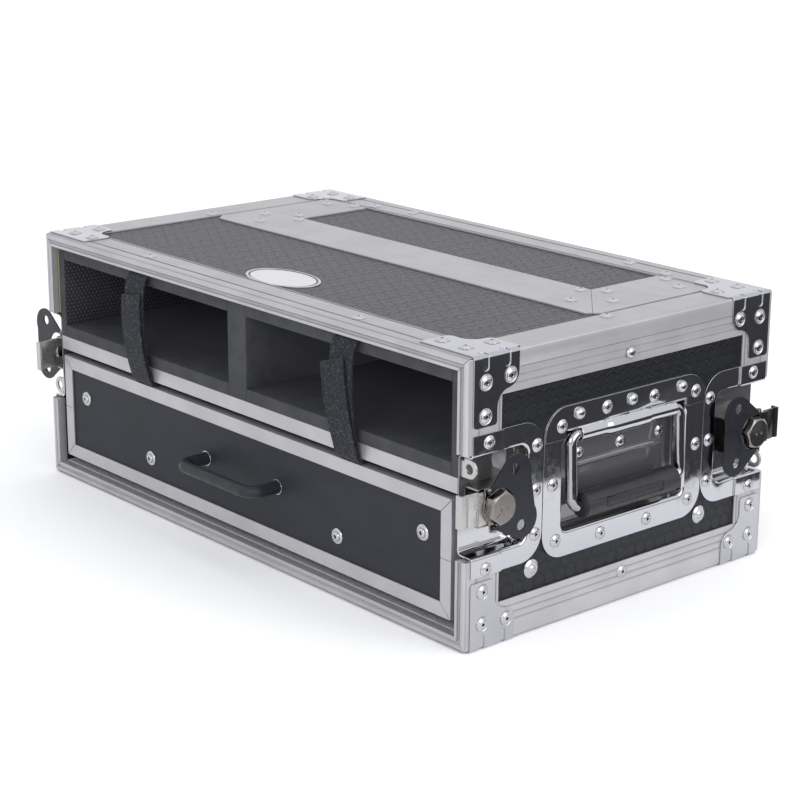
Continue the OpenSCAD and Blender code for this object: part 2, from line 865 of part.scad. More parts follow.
module latch_pressing() {
    half_h = latch_wall_h / 2 - latch_wall_r;
    run = latch_wall_l - latch_wall_r;
    high = dish_depth + trim_t;
    translate([latch_wall_l, half_h, 0]) dish_run(2 * half_h, dish_depth);
    for (turn = [0, 1]) mirror([0, turn, 0]) {
        translate([run, half_h, 0]) dish_corner(latch_wall_r, dish_depth);
        translate([step_p, latch_wall_h / 2, 0]) rotate(90) dish_run(run - step_p, dish_depth);
        translate([0, latch_wall_h / 2, 0]) rotate(90) dish_run(step_p + dish_t, high);
    }
    translate([0, -latch_wall_h / 2 + floor_r, -dish_t]) cube([run, latch_wall_h - 2 * floor_r, dish_t]);
    translate([0, -half_h, -dish_t]) cube([latch_wall_l - floor_r, 2 * half_h, dish_t]);
    for (w = [-half_h, half_h]) translate([run, w, -dish_t])
        cylinder(h = dish_t, r = latch_wall_r - floor_r);
    translate([0, 0, dish_depth - dish_t]) linear_extrude(dish_t) intersection() {
        latch_flange_outline();
        translate([step_p, -latch_h]) square([latch_l, 2 * latch_h]);
    }
    translate([0, 0, high - dish_t]) linear_extrude(dish_t) intersection() {
        latch_flange_outline();
        translate([0, -latch_h]) square([step_p + dish_t, 2 * latch_h]);
    }
    translate([0, 0, dish_depth - dish_t]) linear_extrude(trim_t + dish_t) intersection() {
        latch_flange_outline();
        translate([step_p, -latch_h]) square([dish_t, 2 * latch_h]);
    }
}

module latch_dishes(side) {
    color(chrome) for (end = [FRONT, REAR]) at_latch(side, end)
        translate([floor_x, 0, latch_z]) rotate([90, 0, 90]) latch_pressing();
}

module latch_dishes_left() { latch_dishes(LEFT); }
module latch_dishes_right() { latch_dishes(RIGHT); }

// The latch's base: a plate on the floor, guides beside the hook and the spindle's bearing

base_p0 = 4;
base_p1 = 46;
guide_t = 1.5;

module latch_base() {
    half = hook_w / 2 + guide_t + 0.5;
    difference() {
        union() {
            block(floor_x, floor_x + base_t, base_p0, base_p1, latch_z - half, latch_z + half);
            for (w = [-half, half - guide_t])
                block(floor_x, hook_x, base_p0, base_p1, latch_z + w, latch_z + w + guide_t);
            translate([floor_x, latch_p, latch_z]) rotate([0, 90, 0])
                cylinder(h = hook_x - 0.3 - floor_x, r = boss_r);
        }
        translate([floor_x - eps, latch_p, latch_z]) rotate([0, 90, 0])
            cylinder(h = hook_x - floor_x + 2 * eps, r = neck_r + 0.08);
    }
}

module latch_bases() {
    color("dimgray") for (side = [LEFT, RIGHT], end = [FRONT, REAR]) at_latch(side, end) latch_base();
}

// The padlock's eye. The same latch is used in all four corners, so that the eye stands above the spindle
// at the right front and below it at the left front.

eye_p = 1.5;
eye_t = 1.6;
eye_r = 7;
eye_hole_r = 3.6;
eye_x = raised_x + 1.8 - eye_r;
eye_w = latch_in_h / 2 - eye_r - 3.6;
eye_foot = 10;

module padlock_eye(up) {
    foot_w = latch_in_h / 2 - rim_r - floor_r - 0.2;
    translate([0, 0, latch_z]) mirror([0, 0, up > 0 ? 0 : 1]) difference() {
        union() {
            block(floor_x, eye_x, eye_p, eye_p + eye_t, eye_w - eye_r, foot_w);
            block(floor_x + floor_r + 0.4, eye_x, eye_p, eye_p + eye_t, eye_w - eye_r, eye_w + eye_r);
            block(floor_x, floor_x + eye_t, eye_p, eye_p + eye_foot, eye_w - eye_r, foot_w);
            translate([eye_x, eye_p + eye_t, eye_w]) rotate([90, 0, 0]) cylinder(h = eye_t, r = eye_r);
        }
        translate([eye_x, eye_p + eye_t + eps, eye_w]) rotate([90, 0, 0])
            cylinder(h = eye_t + 2 * eps, r = eye_hole_r);
    }
}

module padlock_eyes() {
    color("dimgray") for (side = [LEFT, RIGHT], end = [FRONT, REAR]) at_latch(side, end)
        padlock_eye(-side * end);
}

// Spindle with its round plate, the ears of the wing's hinge and the hexagonal nut

module hex_nut() {
    corner = nut_af / sqrt(3);
    difference() {
        intersection() {
            translate([0, 0, -0.1]) rotate(nut_turn) cylinder(h = nut_h + 0.1, r = corner, $fn = 6);
            rotate_extrude() polygon([[0, -0.1], [corner, -0.1], [corner, nut_h - nut_chamfer],
                [nut_af / 2 - 0.7, nut_h], [0, nut_h]]);
        }
        for (q = [-2.8, 2.8]) translate([0, q, nut_h - 0.8]) cylinder(h = 2, r = 1);
    }
}

// Turns what belongs to the spindle about its axis
module turned(turn) {
    translate([0, latch_p, latch_z]) rotate([turn, 0, 0]) translate([0, -latch_p, -latch_z]) children();
}

module spindle(side, end, turn) {
    color("silver") at_latch(side, end) turned(turn) {
        translate([floor_x + 0.2, latch_p, latch_z]) rotate([0, 90, 0])
            cylinder(h = nut_x - floor_x - 0.2, r = neck_r);
        translate([nut_x, latch_p, latch_z]) rotate([0, 90, 0]) hex_nut();
        difference() {
            union() {
                translate([plate_x, latch_p, latch_z]) rotate([0, 90, 0])
                    cylinder(h = plate_t, r = plate_r);
                block(plate_x, plate_x + plate_t, latch_p + wing_hinge_q - 3, latch_p + wing_hinge_q + 3,
                    latch_z - knuckle_out, latch_z + knuckle_out);
                for (w = [-1, 1]) translate([wing_hinge_x, latch_p + wing_hinge_q,
                    latch_z + w * (knuckle_mid + knuckle_out) / 2])
                    cylinder(h = knuckle_out - knuckle_mid - 0.2, r = knuckle_r, center = true);
            }
            for (w = [-1, 1]) translate([wing_hinge_x, latch_p + wing_hinge_q,
                latch_z + w * (knuckle_in + knuckle_mid) / 2])
                cylinder(h = knuckle_mid - knuckle_in + 0.2, r = knuckle_r + 0.3, center = true);
        }
        for (w = [-1, 1]) translate([wing_hinge_x, latch_p + wing_hinge_q,
            latch_z + w * (knuckle_in + knuckle_out) / 2])
            cylinder(h = knuckle_out - knuckle_in, r = wing_pin_r, center = true);
    }
}

module spindle_front_left() { spindle(LEFT, FRONT, 0); }
module spindle_front_right() { spindle(RIGHT, FRONT, part_turn); }
module spindle_rear_left() { spindle(LEFT, REAR, 0); }
module spindle_rear_right() { spindle(RIGHT, REAR, 0); }

// The hook slides under the spindle's plate and catches the lid with its bent nose

nose_step = 14.5;
nose_lip = 3.7;
nose_groove = 2.6;
nose_depth = 6;
hook_tail = 16;

// drawn is the travel of the hook from its furthest reach
module hook(side, end, drawn) {
    color("silver") at_latch(side, end) translate([0, drawn, 0]) difference() {
        union() {
            block(hook_x, hook_x + hook_t, -hook_reach + nose_step, latch_p + hook_tail,
                latch_z - hook_w / 2, latch_z + hook_w / 2);
            block(hook_x - hook_t, hook_x + 0.1, -hook_reach + nose_step - hook_t,
                -hook_reach + nose_step + hook_t,
                latch_z - hook_w / 2, latch_z + hook_w / 2);
            block(hook_x - hook_t, hook_x, -hook_reach, -hook_reach + nose_step, latch_z - hook_w / 2,
                latch_z + hook_w / 2);
            block(hook_x - nose_depth, hook_x, -hook_reach, -hook_reach + hook_t,
                latch_z - hook_w / 2, latch_z + hook_w / 2);
        }
        block(hook_x - hook_t / 2, hook_x + hook_t, -hook_reach + nose_lip,
            -hook_reach + nose_lip + nose_groove,
            latch_z - hook_w, latch_z + hook_w);
        translate([hook_x - eps, latch_p, latch_z]) rotate([0, 90, 0])
            cylinder(h = hook_t + 2 * eps, r = neck_r + 0.3);
        translate([hook_x - eps, latch_p - hook_slot, latch_z]) rotate([0, 90, 0])
            cylinder(h = hook_t + 2 * eps, r = neck_r + 0.3);
        block(hook_x - eps, hook_x + hook_t + eps, latch_p - hook_slot, latch_p, latch_z - neck_r - 0.3,
            latch_z + neck_r + 0.3);
    }
}

module hook_front_left() { hook(LEFT, FRONT, 0); }
module hook_front_right() { hook(RIGHT, FRONT, half_drawn); }
module hook_rear_left() { hook(LEFT, REAR, 0); }
module hook_rear_right() { hook(RIGHT, REAR, 0); }

// The butterfly wing, drawn folded. Its plan has q from the spindle toward the case's middle and w up.

lobe_r = 14;
lobe_q = 19.5;
lobe_w = 17.5;
wing_edge = 32.4;
wing_hole = [18, 21.5];

module wing_outline() {
    difference() {
        union() {
            for (w = [-1, 1]) {
                translate([lobe_q, w * lobe_w]) circle(lobe_r);
                polygon([[wing_hinge_q, w * knuckle_in], [wing_hinge_q, w * knuckle_mid],
                    [lobe_q - 9.5, w * (lobe_w + 10.3)], [lobe_q, w * lobe_w], [lobe_q, w * 8]]);
            }
            translate([lobe_q - 8, -lobe_w]) square([wing_edge - lobe_q + 8, 2 * lobe_w]);
        }
        circle(plate_r + 0.5);
        for (w = [-1, 1]) translate([wing_hole[0], w * wing_hole[1]]) circle(4);
        translate([wing_hinge_q - 1, -knuckle_out]) square([knuckle_r + 1.4, 2 * knuckle_out]);
    }
}

module wing_plate() {
    along_x(wing_x, wing_t) wing_outline();
    for (w = [-1, 1]) difference() {
        union() {
            translate([wing_hinge_x, wing_hinge_q, w * (knuckle_in + knuckle_mid) / 2])
                cylinder(h = knuckle_mid - knuckle_in - 0.2, r = knuckle_r, center = true);
            block(wing_x, wing_x + wing_t, wing_hinge_q, wing_hinge_q + knuckle_r + 0.6,
                w * (knuckle_in + knuckle_mid) / 2 - 1, w * (knuckle_in + knuckle_mid) / 2 + 1);
        }
        translate([wing_hinge_x, wing_hinge_q, w * (knuckle_in + knuckle_mid) / 2])
            cylinder(h = 4, r = wing_pin_r + 0.08, center = true);
    }
}

// angle is 0 for a folded wing and 90 for a raised one
module wing(side, end, angle, turn) {
    color("black") at_latch(side, end) turned(turn) translate([0, latch_p, latch_z])
        translate([wing_hinge_x, wing_hinge_q, 0]) rotate([0, 0, -angle])
        translate([-wing_hinge_x, -wing_hinge_q, 0]) wing_plate();
}

module wing_front_left() { wing(LEFT, FRONT, 90, 0); }
module wing_front_right() { wing(RIGHT, FRONT, 0, part_turn); }
module wing_rear_left() { wing(LEFT, REAR, 0, 0); }
module wing_rear_right() { wing(RIGHT, REAR, 0, 0); }

// Runners. t runs from the side panel to the drawer, h is the height from the runner's middle.

module runner(side, t0, t1, h0, h1, y0, y1) {
    on_side(side) for (up = [0, 1]) translate([0, 0, runner_z]) mirror([0, 0, up])
        block(inner_x - t1, inner_x - t0, y0, y1, h0, h1);
}

outer_in = runner_h / 2 - runner_sheet;
middle_out = outer_in - race;
middle_in = middle_out - runner_sheet;
inner_out = middle_in - race;

module runner_outers() {
    half = runner_h / 2;
    color(metal) for (side = [LEFT, RIGHT]) {
        difference() {
            on_side(side) block(inner_x - runner_sheet, inner_x, runner_y, runner_end, runner_z - half,
                runner_z + half);
            for (y = bolt_y) on_side(side) translate([inner_x - runner_sheet - eps, y, runner_z])
                rotate([0, 90, 0])
                cylinder(h = runner_sheet + 2 * eps, r = bolt_r + pocket);
        }
        runner(side, 0, runner_w - outer_lip, outer_in, half, runner_y, runner_end);
    }
}

module runner_middles() {
    y0 = runner_y + middle_short;
    y1 = runner_end - middle_short;
    x1 = inner_x - middle_in_x;
    color("silver") for (side = [LEFT, RIGHT]) {
        on_side(side) block(x1 - runner_sheet, x1, y0, y1, runner_z - middle_out, runner_z + middle_out);
        runner(side, middle_in_x, runner_w - middle_lip, middle_in, middle_out, y0, y1);
        // Ball carriers on both faces of each flange
        runner(side, ball_in, ball_out, middle_out - 0.1, outer_in - ball_gap, y0, y1);
        runner(side, ball_in, ball_out, inner_out + ball_gap, middle_in + 0.1, y0, y1);
    }
}

module runner_inners() {
    color(metal) for (side = [LEFT, RIGHT]) {
        on_side(side) block(box_x, box_x + runner_sheet, runner_y, runner_end, runner_z - inner_out,
            runner_z + inner_out);
        runner(side, ball_in, runner_w, inner_out - runner_sheet, inner_out, runner_y, runner_end);
    }
}

washer_r = 6.9;

// Bolts with cup washers through the side panels into the runners
module runner_bolts() {
    color("silver") for (side = [LEFT, RIGHT], y = bolt_y) on_side(side) translate([0, y, runner_z])
        rotate([0, 90, 0]) {
        translate([0, 0, inner_x - runner_sheet]) cylinder(h = panel_t + runner_sheet + 0.5, r = bolt_r);
        translate([0, 0, panel_x]) rotate_extrude() union() {
            polygon([[0, 0], [washer_r, 0], [washer_r, 0.5], [washer_r - 1.8, 1.6], [0, 1.6]]);
            intersection() {
                translate([0, -1.5]) circle(4.6);
                square([4.2, 4]);
            }
        }
    }
}

// Drawer

module drawer_front() {
    color(laminate) difference() {
        block(-drawer_half + strip_t, drawer_half - strip_t, board_y, board_y + box_t,
            drawer_z0 + strip_t, drawer_z1 - strip_t);
        block(-box_x + box_t - groove_depth, box_x - box_t + groove_depth, board_y + box_t - groove_depth,
            board_y + box_t + eps,
            box_bottom_z, box_bottom_z + bottom_t);
    }
}

// L-shaped trim round the front's edge, mitred at the corners and split part way up the sides
module drawer_trim() {
    seam_z = (drawer_z0 + drawer_z1) / 2 - 0.8;
    color(metal) difference() {
        block(-drawer_half, drawer_half, front_y, board_y + box_t - 1, drawer_z0, drawer_z1);
        block(-drawer_half + strip_t, drawer_half - strip_t, board_y, board_y + box_t,
            drawer_z0 + strip_t, drawer_z1 - strip_t);
        block(-drawer_half + drawer_trim_w, drawer_half - drawer_trim_w, front_y - eps, board_y + eps,
            drawer_z0 + drawer_trim_w, drawer_z1 - drawer_trim_w);
        block(-drawer_half - eps, drawer_half + eps, front_y - eps, front_y + 0.4, seam_z - 0.15,
            seam_z + 0.15);
        for (side = [LEFT, RIGHT], end = [0, 1]) on_side(side)
            translate([drawer_half, front_y, end == 0 ? drawer_z0 : drawer_z1])
                rotate([0, end == 0 ? 45 : -45, 0])
            translate([-22, -eps, -0.15]) cube([24, eps + 0.4, 0.3]);
    }
}

module drawer_box() {
    y0 = board_y + box_t;
    color(laminate) difference() {
        union() {
            for (side = [LEFT, RIGHT]) on_side(side)
                block(box_x - box_t, box_x, y0, box_back, box_z0, box_z0 + box_h);
            block(-box_x + box_t, box_x - box_t, box_back - box_t, box_back, box_z0, box_z0 + box_h);
        }
        block(-box_x + box_t - groove_depth, box_x - box_t + groove_depth, y0 - eps,
            box_back - box_t + groove_depth,
            box_bottom_z, box_bottom_z + bottom_t);
    }
}

module drawer_bottom() {
    y0 = board_y + box_t;
    half = box_x - box_t + groove_depth - pocket;
    color("tan") block(-half, half,
        y0 - groove_depth + pocket, box_back - box_t + groove_depth - pocket,
        box_bottom_z, box_bottom_z + bottom_t);
}

pull_bend = 10;
foot_h = 2;
foot_d = 11;

module pull_handle() {
    half = pull_span / 2;
    color("black") translate([pull_off, board_y, pull_z]) {
        for (end = [0, 1]) mirror([end, 0, 0]) {
            rotate([90, 0, 0]) translate([half, 0, 0]) cylinder(h = foot_h, d = foot_d);
            rotate([90, 0, 0]) translate([half, 0, 0])
                cylinder(h = pull_reach + strip_t - pull_bend, d = pull_d);
            translate([half - pull_bend, -pull_reach - strip_t + pull_bend, 0]) rotate([0, 0, -90])
                quarter_wire(pull_bend, pull_d);
        }
        translate([-half + pull_bend, -pull_reach - strip_t, 0]) rotate([0, 90, 0])
            cylinder(h = 2 * (half - pull_bend), d = pull_d);
    }
}

// Distance from the end of the drawer's front and height above its lower edge
drawer_bolt_at = [[31, 56.3], [125.5, 26.9]];

module drawer_bolts() {
    color("silver") for (side = [LEFT, RIGHT], at = drawer_bolt_at) on_side(side)
        translate([drawer_half - at[0], board_y, drawer_z0 + at[1]]) rotate([90, 0, 0])
        rotate_extrude() intersection() {
            translate([0, -6]) circle(8.6);
            square([5.2, 3]);
        }
}

// Straps, in front of the bays: from under the top rail, down over the shelf and into the gap under it

strap_at = [-125, 136];
strap_gap = 0.3;
// Reach and height of the bow under the top rail
strap_bow = 6.8;
strap_bow_h = 22;
// Reach and height of the bow above the shelf
strap_low_bow = 4.5;
strap_low_h = 14;
strap_tuck = 10;

// Outline of one face of the strap in Y and Z: out is the thickness that lies behind it
function strap_bow_points(out, top) = [for (i = [0:9])
    [-strap_gap - out - strap_bow * sin(i * 10), top - strap_bow_h * (1 - cos(i * 10))]];

module strap(x) {
    low = shelf_z - strap_gap;
    bend = shelf_top + strap_low_h;
    color([0.18, 0.18, 0.2]) translate([x - strap_w / 2, -hd, 0]) rotate([90, 0, 90])
        linear_extrude(strap_w)
        difference() {
            polygon(concat([[-strap_gap, inner_z1 - 0.5]], strap_bow_points(strap_t, inner_z1 - 1),
                [[-strap_t - strap_low_bow, bend], [-strap_t - 0.6, low - 1],
                    [-strap_t - 0.2, low - strap_t],
                    [strap_tuck, low - strap_t]]));
            polygon(concat([[-0.2, inner_z1 + 1]], strap_bow_points(0, inner_z1 - 1 - strap_t),
                [[-strap_low_bow, bend], [-0.5, low + 0.5], [-0.2, low], [strap_tuck + eps, low],
                    [strap_tuck + eps, inner_z1 + 1]]));
        }
}

module strap_left() { strap(strap_at[0]); }
module strap_right() { strap(strap_at[1]); }

// Rivets, drawn with their heads up

module rivet() {
    dome = (pow(rivet_r, 2) + pow(rivet_h, 2)) / (2 * rivet_h);
    rotate_extrude() difference() {
        intersection() {
            translate([0, rivet_h - dome]) circle(dome);
            square([rivet_r, rivet_h]);
        }
        translate([0, rivet_h - 0.9]) square([rivet_hole_r, 1]);
    }
}

module side_rivets(x, places) {
    for (at = places) translate([x, -hd + at[0], at[1]]) rotate([0, 90, 0]) rivet();
}

module top_rivets(z, places) {
    for (at = places) translate([at[0], -hd + at[1], z]) rivet();
}

// Distance from the face and from the case's top
brace_side_rivets = [[11, 19.5], [34, 18], [11, brace_leg - 7.5]];
// Distance from the side and from the face
brace_top_rivets = [[46.7, 13.2], [22, 12.4], [21.5, 36]];
rail_rivet = [134, 11.7];
rear_rivet = [89, 17.8];
angle_rivet = 25;
angle_side_rivet = 22;
// Distance from the face and from the height of the spindle
latch_low_rivets = [[15, 45.2], [13.7, -46]];
latch_back_rivets = [[62, 33.3], [61.7, 0.5], [61.7, -32]];
// Distance from the case's side and from the front edge of the strips
hatch_rivets = [[93.4, 48.5], [78, 61], [75.5, 19.5], [53.5, 41.5], [77, 125.5], [53, 113.5]];
// Part of the dish's width and distance from its middle height
cover_rivets = [[-0.4054, 42.2], [-0.1339, 47.8], [0.1616, 46.7], [0.4354, 42.1], [-0.3033, 48.7],
    [0.0198, 48.9],
    [0.3381, 48.6]];
dish_rivets = [[0.4565, 0], [0.4204, -42.3], [0.1502, -47.6], [-0.1441, -47.3], [-0.4192, -42.6],
    [-0.4456, 0.1]];
floor_rivets = [[-0.2204, 13], [0.0396, 13], [0.2919, 13]];

function near_latch(places) = [for (at = places) [at[0], latch_z + at[1]]];
function in_dish(places) = [for (at = places) [hd + at[0] * handle_w, handle_z + at[1]]];

module corner_rivets() {
    side_rivets(hw, [for (at = brace_side_rivets) [at[0], case_h - at[1]]]);
    side_rivets(hw, brace_side_rivets);
    top_rivets(case_h, [for (at = brace_top_rivets) [hw - at[0], at[1]]]);
    side_rivets(raised_x, near_latch(latch_low_rivets));
    side_rivets(flange_x, near_latch(latch_back_rivets));
}

module rivets() {
    color("silver") for (side = [LEFT, RIGHT]) on_side(side) {
        for (end = [FRONT, REAR]) on_end(end) corner_rivets();
        top_rivets(trim_z1, [for (at = hatch_rivets) [hw - at[0], hatch_y + at[1]]]);
        top_rivets(trim_z1, [[hw - rear_rivet[0], case_d - rear_rivet[1]], [hw - angle_rivet, hd]]);
        side_rivets(trim_x, [[hd, trim_z0 + angle_side_rivet], [hd, trim_z1 - angle_side_rivet]]);
        side_rivets(flange_x + dish_t, in_dish(cover_rivets));
        side_rivets(flange_x, in_dish(dish_rivets));
        side_rivets(floor_x, in_dish(floor_rivets));
        for (end = [FRONT, REAR]) on_end(end) top_rivets(trim_z1, [[hw - rail_rivet[0], rail_rivet[1]]]);
    }
}

top_panel();
bottom_panel();
side_panel(LEFT);  // side_panel_left
side_panel(RIGHT);  // side_panel_right
shelf_board();
shelf_strips();
front_rails();
rear_rails();
front_posts();
rear_posts();
edge_angles();
corner_braces_top();
corner_braces_bottom();
hatch_trim();
oval_plate();
handle_dish_left();
handle_dish_right();
handle_cover_left();
handle_cover_right();
latch_dishes_left();
latch_dishes_right();
latch_bases();
padlock_eyes();
foam_side_left();
foam_side_right();
foam_divider();
foam_floor();
foam_top();
strap_left();
strap_right();
runner_outers();
runner_bolts();
rivets();
runner_middles();
runner_inners();
drawer_front();
drawer_trim();
drawer_box();
drawer_bottom();
pull_handle();
drawer_bolts();
handle_bail_left();
handle_bail_right();
handle_grip_left();
handle_grip_right();
spindle_front_left();
spindle_front_right();
spindle_rear_left();
spindle_rear_right();
hook_front_left();
hook_front_right();
hook_rear_left();
hook_rear_right();
wing_front_left();
wing_front_right();
wing_rear_left();
wing_rear_right();
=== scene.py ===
"""Road case with two open bays above a drawer.

Adds finishes, soft parts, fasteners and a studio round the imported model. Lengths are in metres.
"""

import json
import math

import bmesh
import bpy
from mathutils import Matrix, Vector, noise

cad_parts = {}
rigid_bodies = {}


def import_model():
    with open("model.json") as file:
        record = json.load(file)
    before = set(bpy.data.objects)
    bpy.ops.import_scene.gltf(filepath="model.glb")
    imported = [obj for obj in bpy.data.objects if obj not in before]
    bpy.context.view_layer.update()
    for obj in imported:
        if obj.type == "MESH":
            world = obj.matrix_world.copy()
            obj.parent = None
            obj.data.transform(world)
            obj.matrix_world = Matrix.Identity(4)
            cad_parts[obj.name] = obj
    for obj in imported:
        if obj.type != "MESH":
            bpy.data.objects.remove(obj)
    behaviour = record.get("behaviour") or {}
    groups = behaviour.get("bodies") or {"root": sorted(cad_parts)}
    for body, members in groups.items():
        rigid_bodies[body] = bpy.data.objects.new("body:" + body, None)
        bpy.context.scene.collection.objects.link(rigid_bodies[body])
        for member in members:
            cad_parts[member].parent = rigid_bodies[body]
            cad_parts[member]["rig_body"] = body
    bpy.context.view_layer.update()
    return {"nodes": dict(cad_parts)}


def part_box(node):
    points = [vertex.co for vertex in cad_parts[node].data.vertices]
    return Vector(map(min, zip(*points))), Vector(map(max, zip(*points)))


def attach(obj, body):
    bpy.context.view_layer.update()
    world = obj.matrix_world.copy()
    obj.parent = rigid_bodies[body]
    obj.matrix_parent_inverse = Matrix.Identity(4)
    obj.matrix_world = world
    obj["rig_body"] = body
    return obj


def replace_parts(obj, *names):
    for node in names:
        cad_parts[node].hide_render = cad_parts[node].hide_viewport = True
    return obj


bl_info = {
    "name": "Road case with drawers",
    "version": (1, 0, 0),
    "blender": (4, 5, 0),
    "location": "View3D > Sidebar > Road Case",
    "description": "Dresses a road case with drawers and sets up its studio",
    "category": "Object",
}

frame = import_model()
SIDES = ("left", "right")
CORNERS = ("front_left", "front_right", "rear_left", "rear_right")
MM = 0.001
X, Y, Z = range(3)

# Places in the case, from its middle or up from the floor
FACE_Y = 0.1524  # front and rear faces
TOP_Z = (0.2108, 0.2116)  # where the painted shade on the top's metal sets in
DISH_X = (0.252, 0.2615)  # from a side dish's floor to its rim
DISH_BLUR = (0.005, 0.01)  # below and above the height where the painted shade on a dish's floor sets in
LATCH_SHADE_Z = 0.086  # where the painted shade on a latch dish's floor sets in
LINING_Y = 0.128  # where the bottom panel's lining starts
FOAM_X = 0.2508  # outer faces of the foam side walls
FOAM_FACE = (0.0005, 0.001)  # behind the front face, where a foam wall's wooden edge ends and its knobs begin
FOAM_LIT_Y = (0.04, 0.14)  # from the middle of the foam, lighter with painted light, to its ends

# Patterns and fixed colours
KNOB = 0.0036  # width of the foam's knobs
WEAVE = 0.0011  # pitch of the grain inside the laminate's hexagons
BLACK = (0, 0, 0)
HOLE_SHADE = (0.01, 0.01, 0.011)  # painted shade inside a fastener's head
PLATE_LINE = (0.03, 0.03, 0.035)  # ring inside the oval plate's rim
SHADED_FLOOR_METALLIC = 0.7  # of a dish's floor under its painted shade

# Limits for cleaning a mesh
SAME_POINT = 1e-6
TINY = 1e-7
SAME_PLANE = math.radians(0.6)


# Finishes


def scaled(colour, share, plus=0.0):
    """A lighter or darker colour."""
    return tuple(c * share + plus for c in colour)


class Finish:
    """The nodes of one material. Every pattern reads Object coordinates, in metres."""

    def __init__(self, name, colour, roughness, metallic=0.0, **sockets):
        self.material = bpy.data.materials.new(name)
        self.material.use_nodes = True
        self.tree = self.material.node_tree
        self.shader = self.tree.nodes["Principled BSDF"]
        self.shader.inputs["Base Color"].default_value = (*colour, 1)
        self.shader.inputs["Roughness"].default_value = roughness
        self.shader.inputs["Metallic"].default_value = metallic
        for key, value in sockets.items():
            self.shader.inputs[key.replace("_", " ")].default_value = value
        self.place = self.add("ShaderNodeTexCoord").outputs["Object"]

    def add(self, kind, inputs=(), **settings):
        node = self.tree.nodes.new(kind)
        for key, value in settings.items():
            setattr(node, key, value)
        for key, value in dict(inputs).items():
            self.put(node.inputs[key], value)
        return node

    def put(self, socket, value):
        if isinstance(value, bpy.types.NodeSocket):
            self.tree.links.new(value, socket)
        else:
            socket.default_value = value

    def math(self, operation, a, b=0.0):
        return self.add("ShaderNodeMath", {0: a, 1: b}, operation=operation).outputs[0]

    def vector(self, operation, a, b=(0, 0, 0), c=None):
        inputs = {0: a, 1: b}
        if c is not None:
            inputs[2] = c
        node = self.add("ShaderNodeVectorMath", inputs, operation=operation)
        return node.outputs["Value" if operation in ("DOT_PRODUCT", "LENGTH") else "Vector"]

    def dot(self, direction):
        """How far along a direction a point lies."""
        return self.vector("DOT_PRODUCT", self.place, direction)

    def along(self, axis):
        """One of the coordinates."""
        return self.dot(tuple(float(i == axis) for i in range(3)))

    def reach(self, axis):
        """One of the coordinates without its sign."""
        return self.math("ABSOLUTE", self.along(axis))

    def noise(self, scale, detail=3.0, roughness=0.5):
        """Noise from 0 to 1 with so many grains to the metre along X, Y and Z, or along all three."""
        if not isinstance(scale, tuple):
            scale = (scale, scale, scale)
        place = self.vector("MULTIPLY", self.place, scale)
        node = self.add(
            "ShaderNodeTexNoise", {"Vector": place, "Scale": 1.0, "Detail": detail, "Roughness": roughness}
        )
        return node.outputs["Fac"]

    def streaks(self, axis, along, across):
        """Noise drawn out along one axis, with so many grains to the metre along it and across."""
        return self.noise(tuple(along if i == axis else across for i in range(3)), 2.0)

    def span(self, value, low, high, to_low=0.0, to_high=1.0):
        """value between low and high, mapped smoothly to the new range."""
        node = self.add(
            "ShaderNodeMapRange",
            {"Value": value, "From Min": low, "From Max": high, "To Min": to_low, "To Max": to_high},
            interpolation_type="SMOOTHSTEP",
        )
        return node.outputs[0]

    def blend(self, share, a, b):
        """Colour a where share is 0 and b where it is 1."""
        node = self.add("ShaderNodeMix", data_type="RGBA")
        self.put(node.inputs["Factor"], share)
        for socket, value in ((node.inputs[6], a), (node.inputs[7], b)):
            self.put(socket, (*value, 1) if isinstance(value, tuple) else value)
        return node.outputs[2]

    def colour(self, value):
        self.put(self.shader.inputs["Base Color"], value)

    def rough(self, value):
        self.put(self.shader.inputs["Roughness"], value)

    def relief(self, height, depth, strength=1.0):
        """Bump of the given depth, over what was set before."""
        node = self.add("ShaderNodeBump", {"Height": height, "Distance": depth, "Strength": strength})
        before = self.shader.inputs["Normal"]
        if before.links:
            self.tree.links.new(before.links[0].from_socket, node.inputs["Normal"])
        self.tree.links.new(node.outputs[0], before)

    def cells(self, across, up, size):
        """Distance from the middle of the nearest hexagon, 0.5 at its edges. Both axes are unit vectors."""
        plane = {i: self.dot(tuple(a / size for a in axis)) for i, axis in enumerate((across, up))}
        flat = self.add("ShaderNodeCombineXYZ", plane).outputs[0]
        half = (0.5, math.sqrt(3) / 2, 0.5)
        low = tuple(-a for a in half)
        shifted = (self.vector("SUBTRACT", flat, shift) for shift in ((0, 0, 0), half))
        ends = [self.vector("WRAP", moved, half, low) for moved in shifted]
        nearer = self.math("LESS_THAN", *(self.vector("LENGTH", end) for end in ends))
        local = self.add("ShaderNodeMix", data_type="VECTOR")
        self.put(local.inputs["Factor"], nearer)
        self.put(local.inputs[4], ends[1])
        self.put(local.inputs[5], ends[0])
        folded = self.vector("ABSOLUTE", local.outputs[1])
        slant = self.vector("DOT_PRODUCT", folded, (0.5, math.sqrt(3) / 2, 0))
        flank = self.vector("DOT_PRODUCT", folded, (1, 0, 0))
        return self.math("MAXIMUM", slant, flank)


def satin_aluminium(name, axis, colour, shaded_top):
    """Anodised extrusion with drawing lines along one axis, and painted shade, a darker tone, on what lies on
    the top.
    """
    finish = Finish(name, colour, roughness=0.4, metallic=0.5)
    lines = finish.streaks(axis, along=9.0, across=2600.0)
    bands = finish.streaks(axis, along=3.0, across=700.0)
    clouds = finish.noise(30, 2.0)
    # painted shade: faces at the top take the darker colour
    tone = finish.blend(finish.span(finish.along(Z), *TOP_Z), colour, shaded_top)
    finish.colour(finish.blend(finish.math("MULTIPLY", finish.span(clouds, 0.3, 0.7), 0.1), tone, BLACK))
    finish.rough(finish.span(bands, 0.25, 0.75, 0.36, 0.46))
    finish.relief(lines, 0.00003, 0.35)
    finish.relief(bands, 0.00008, 0.35)
    return finish.material


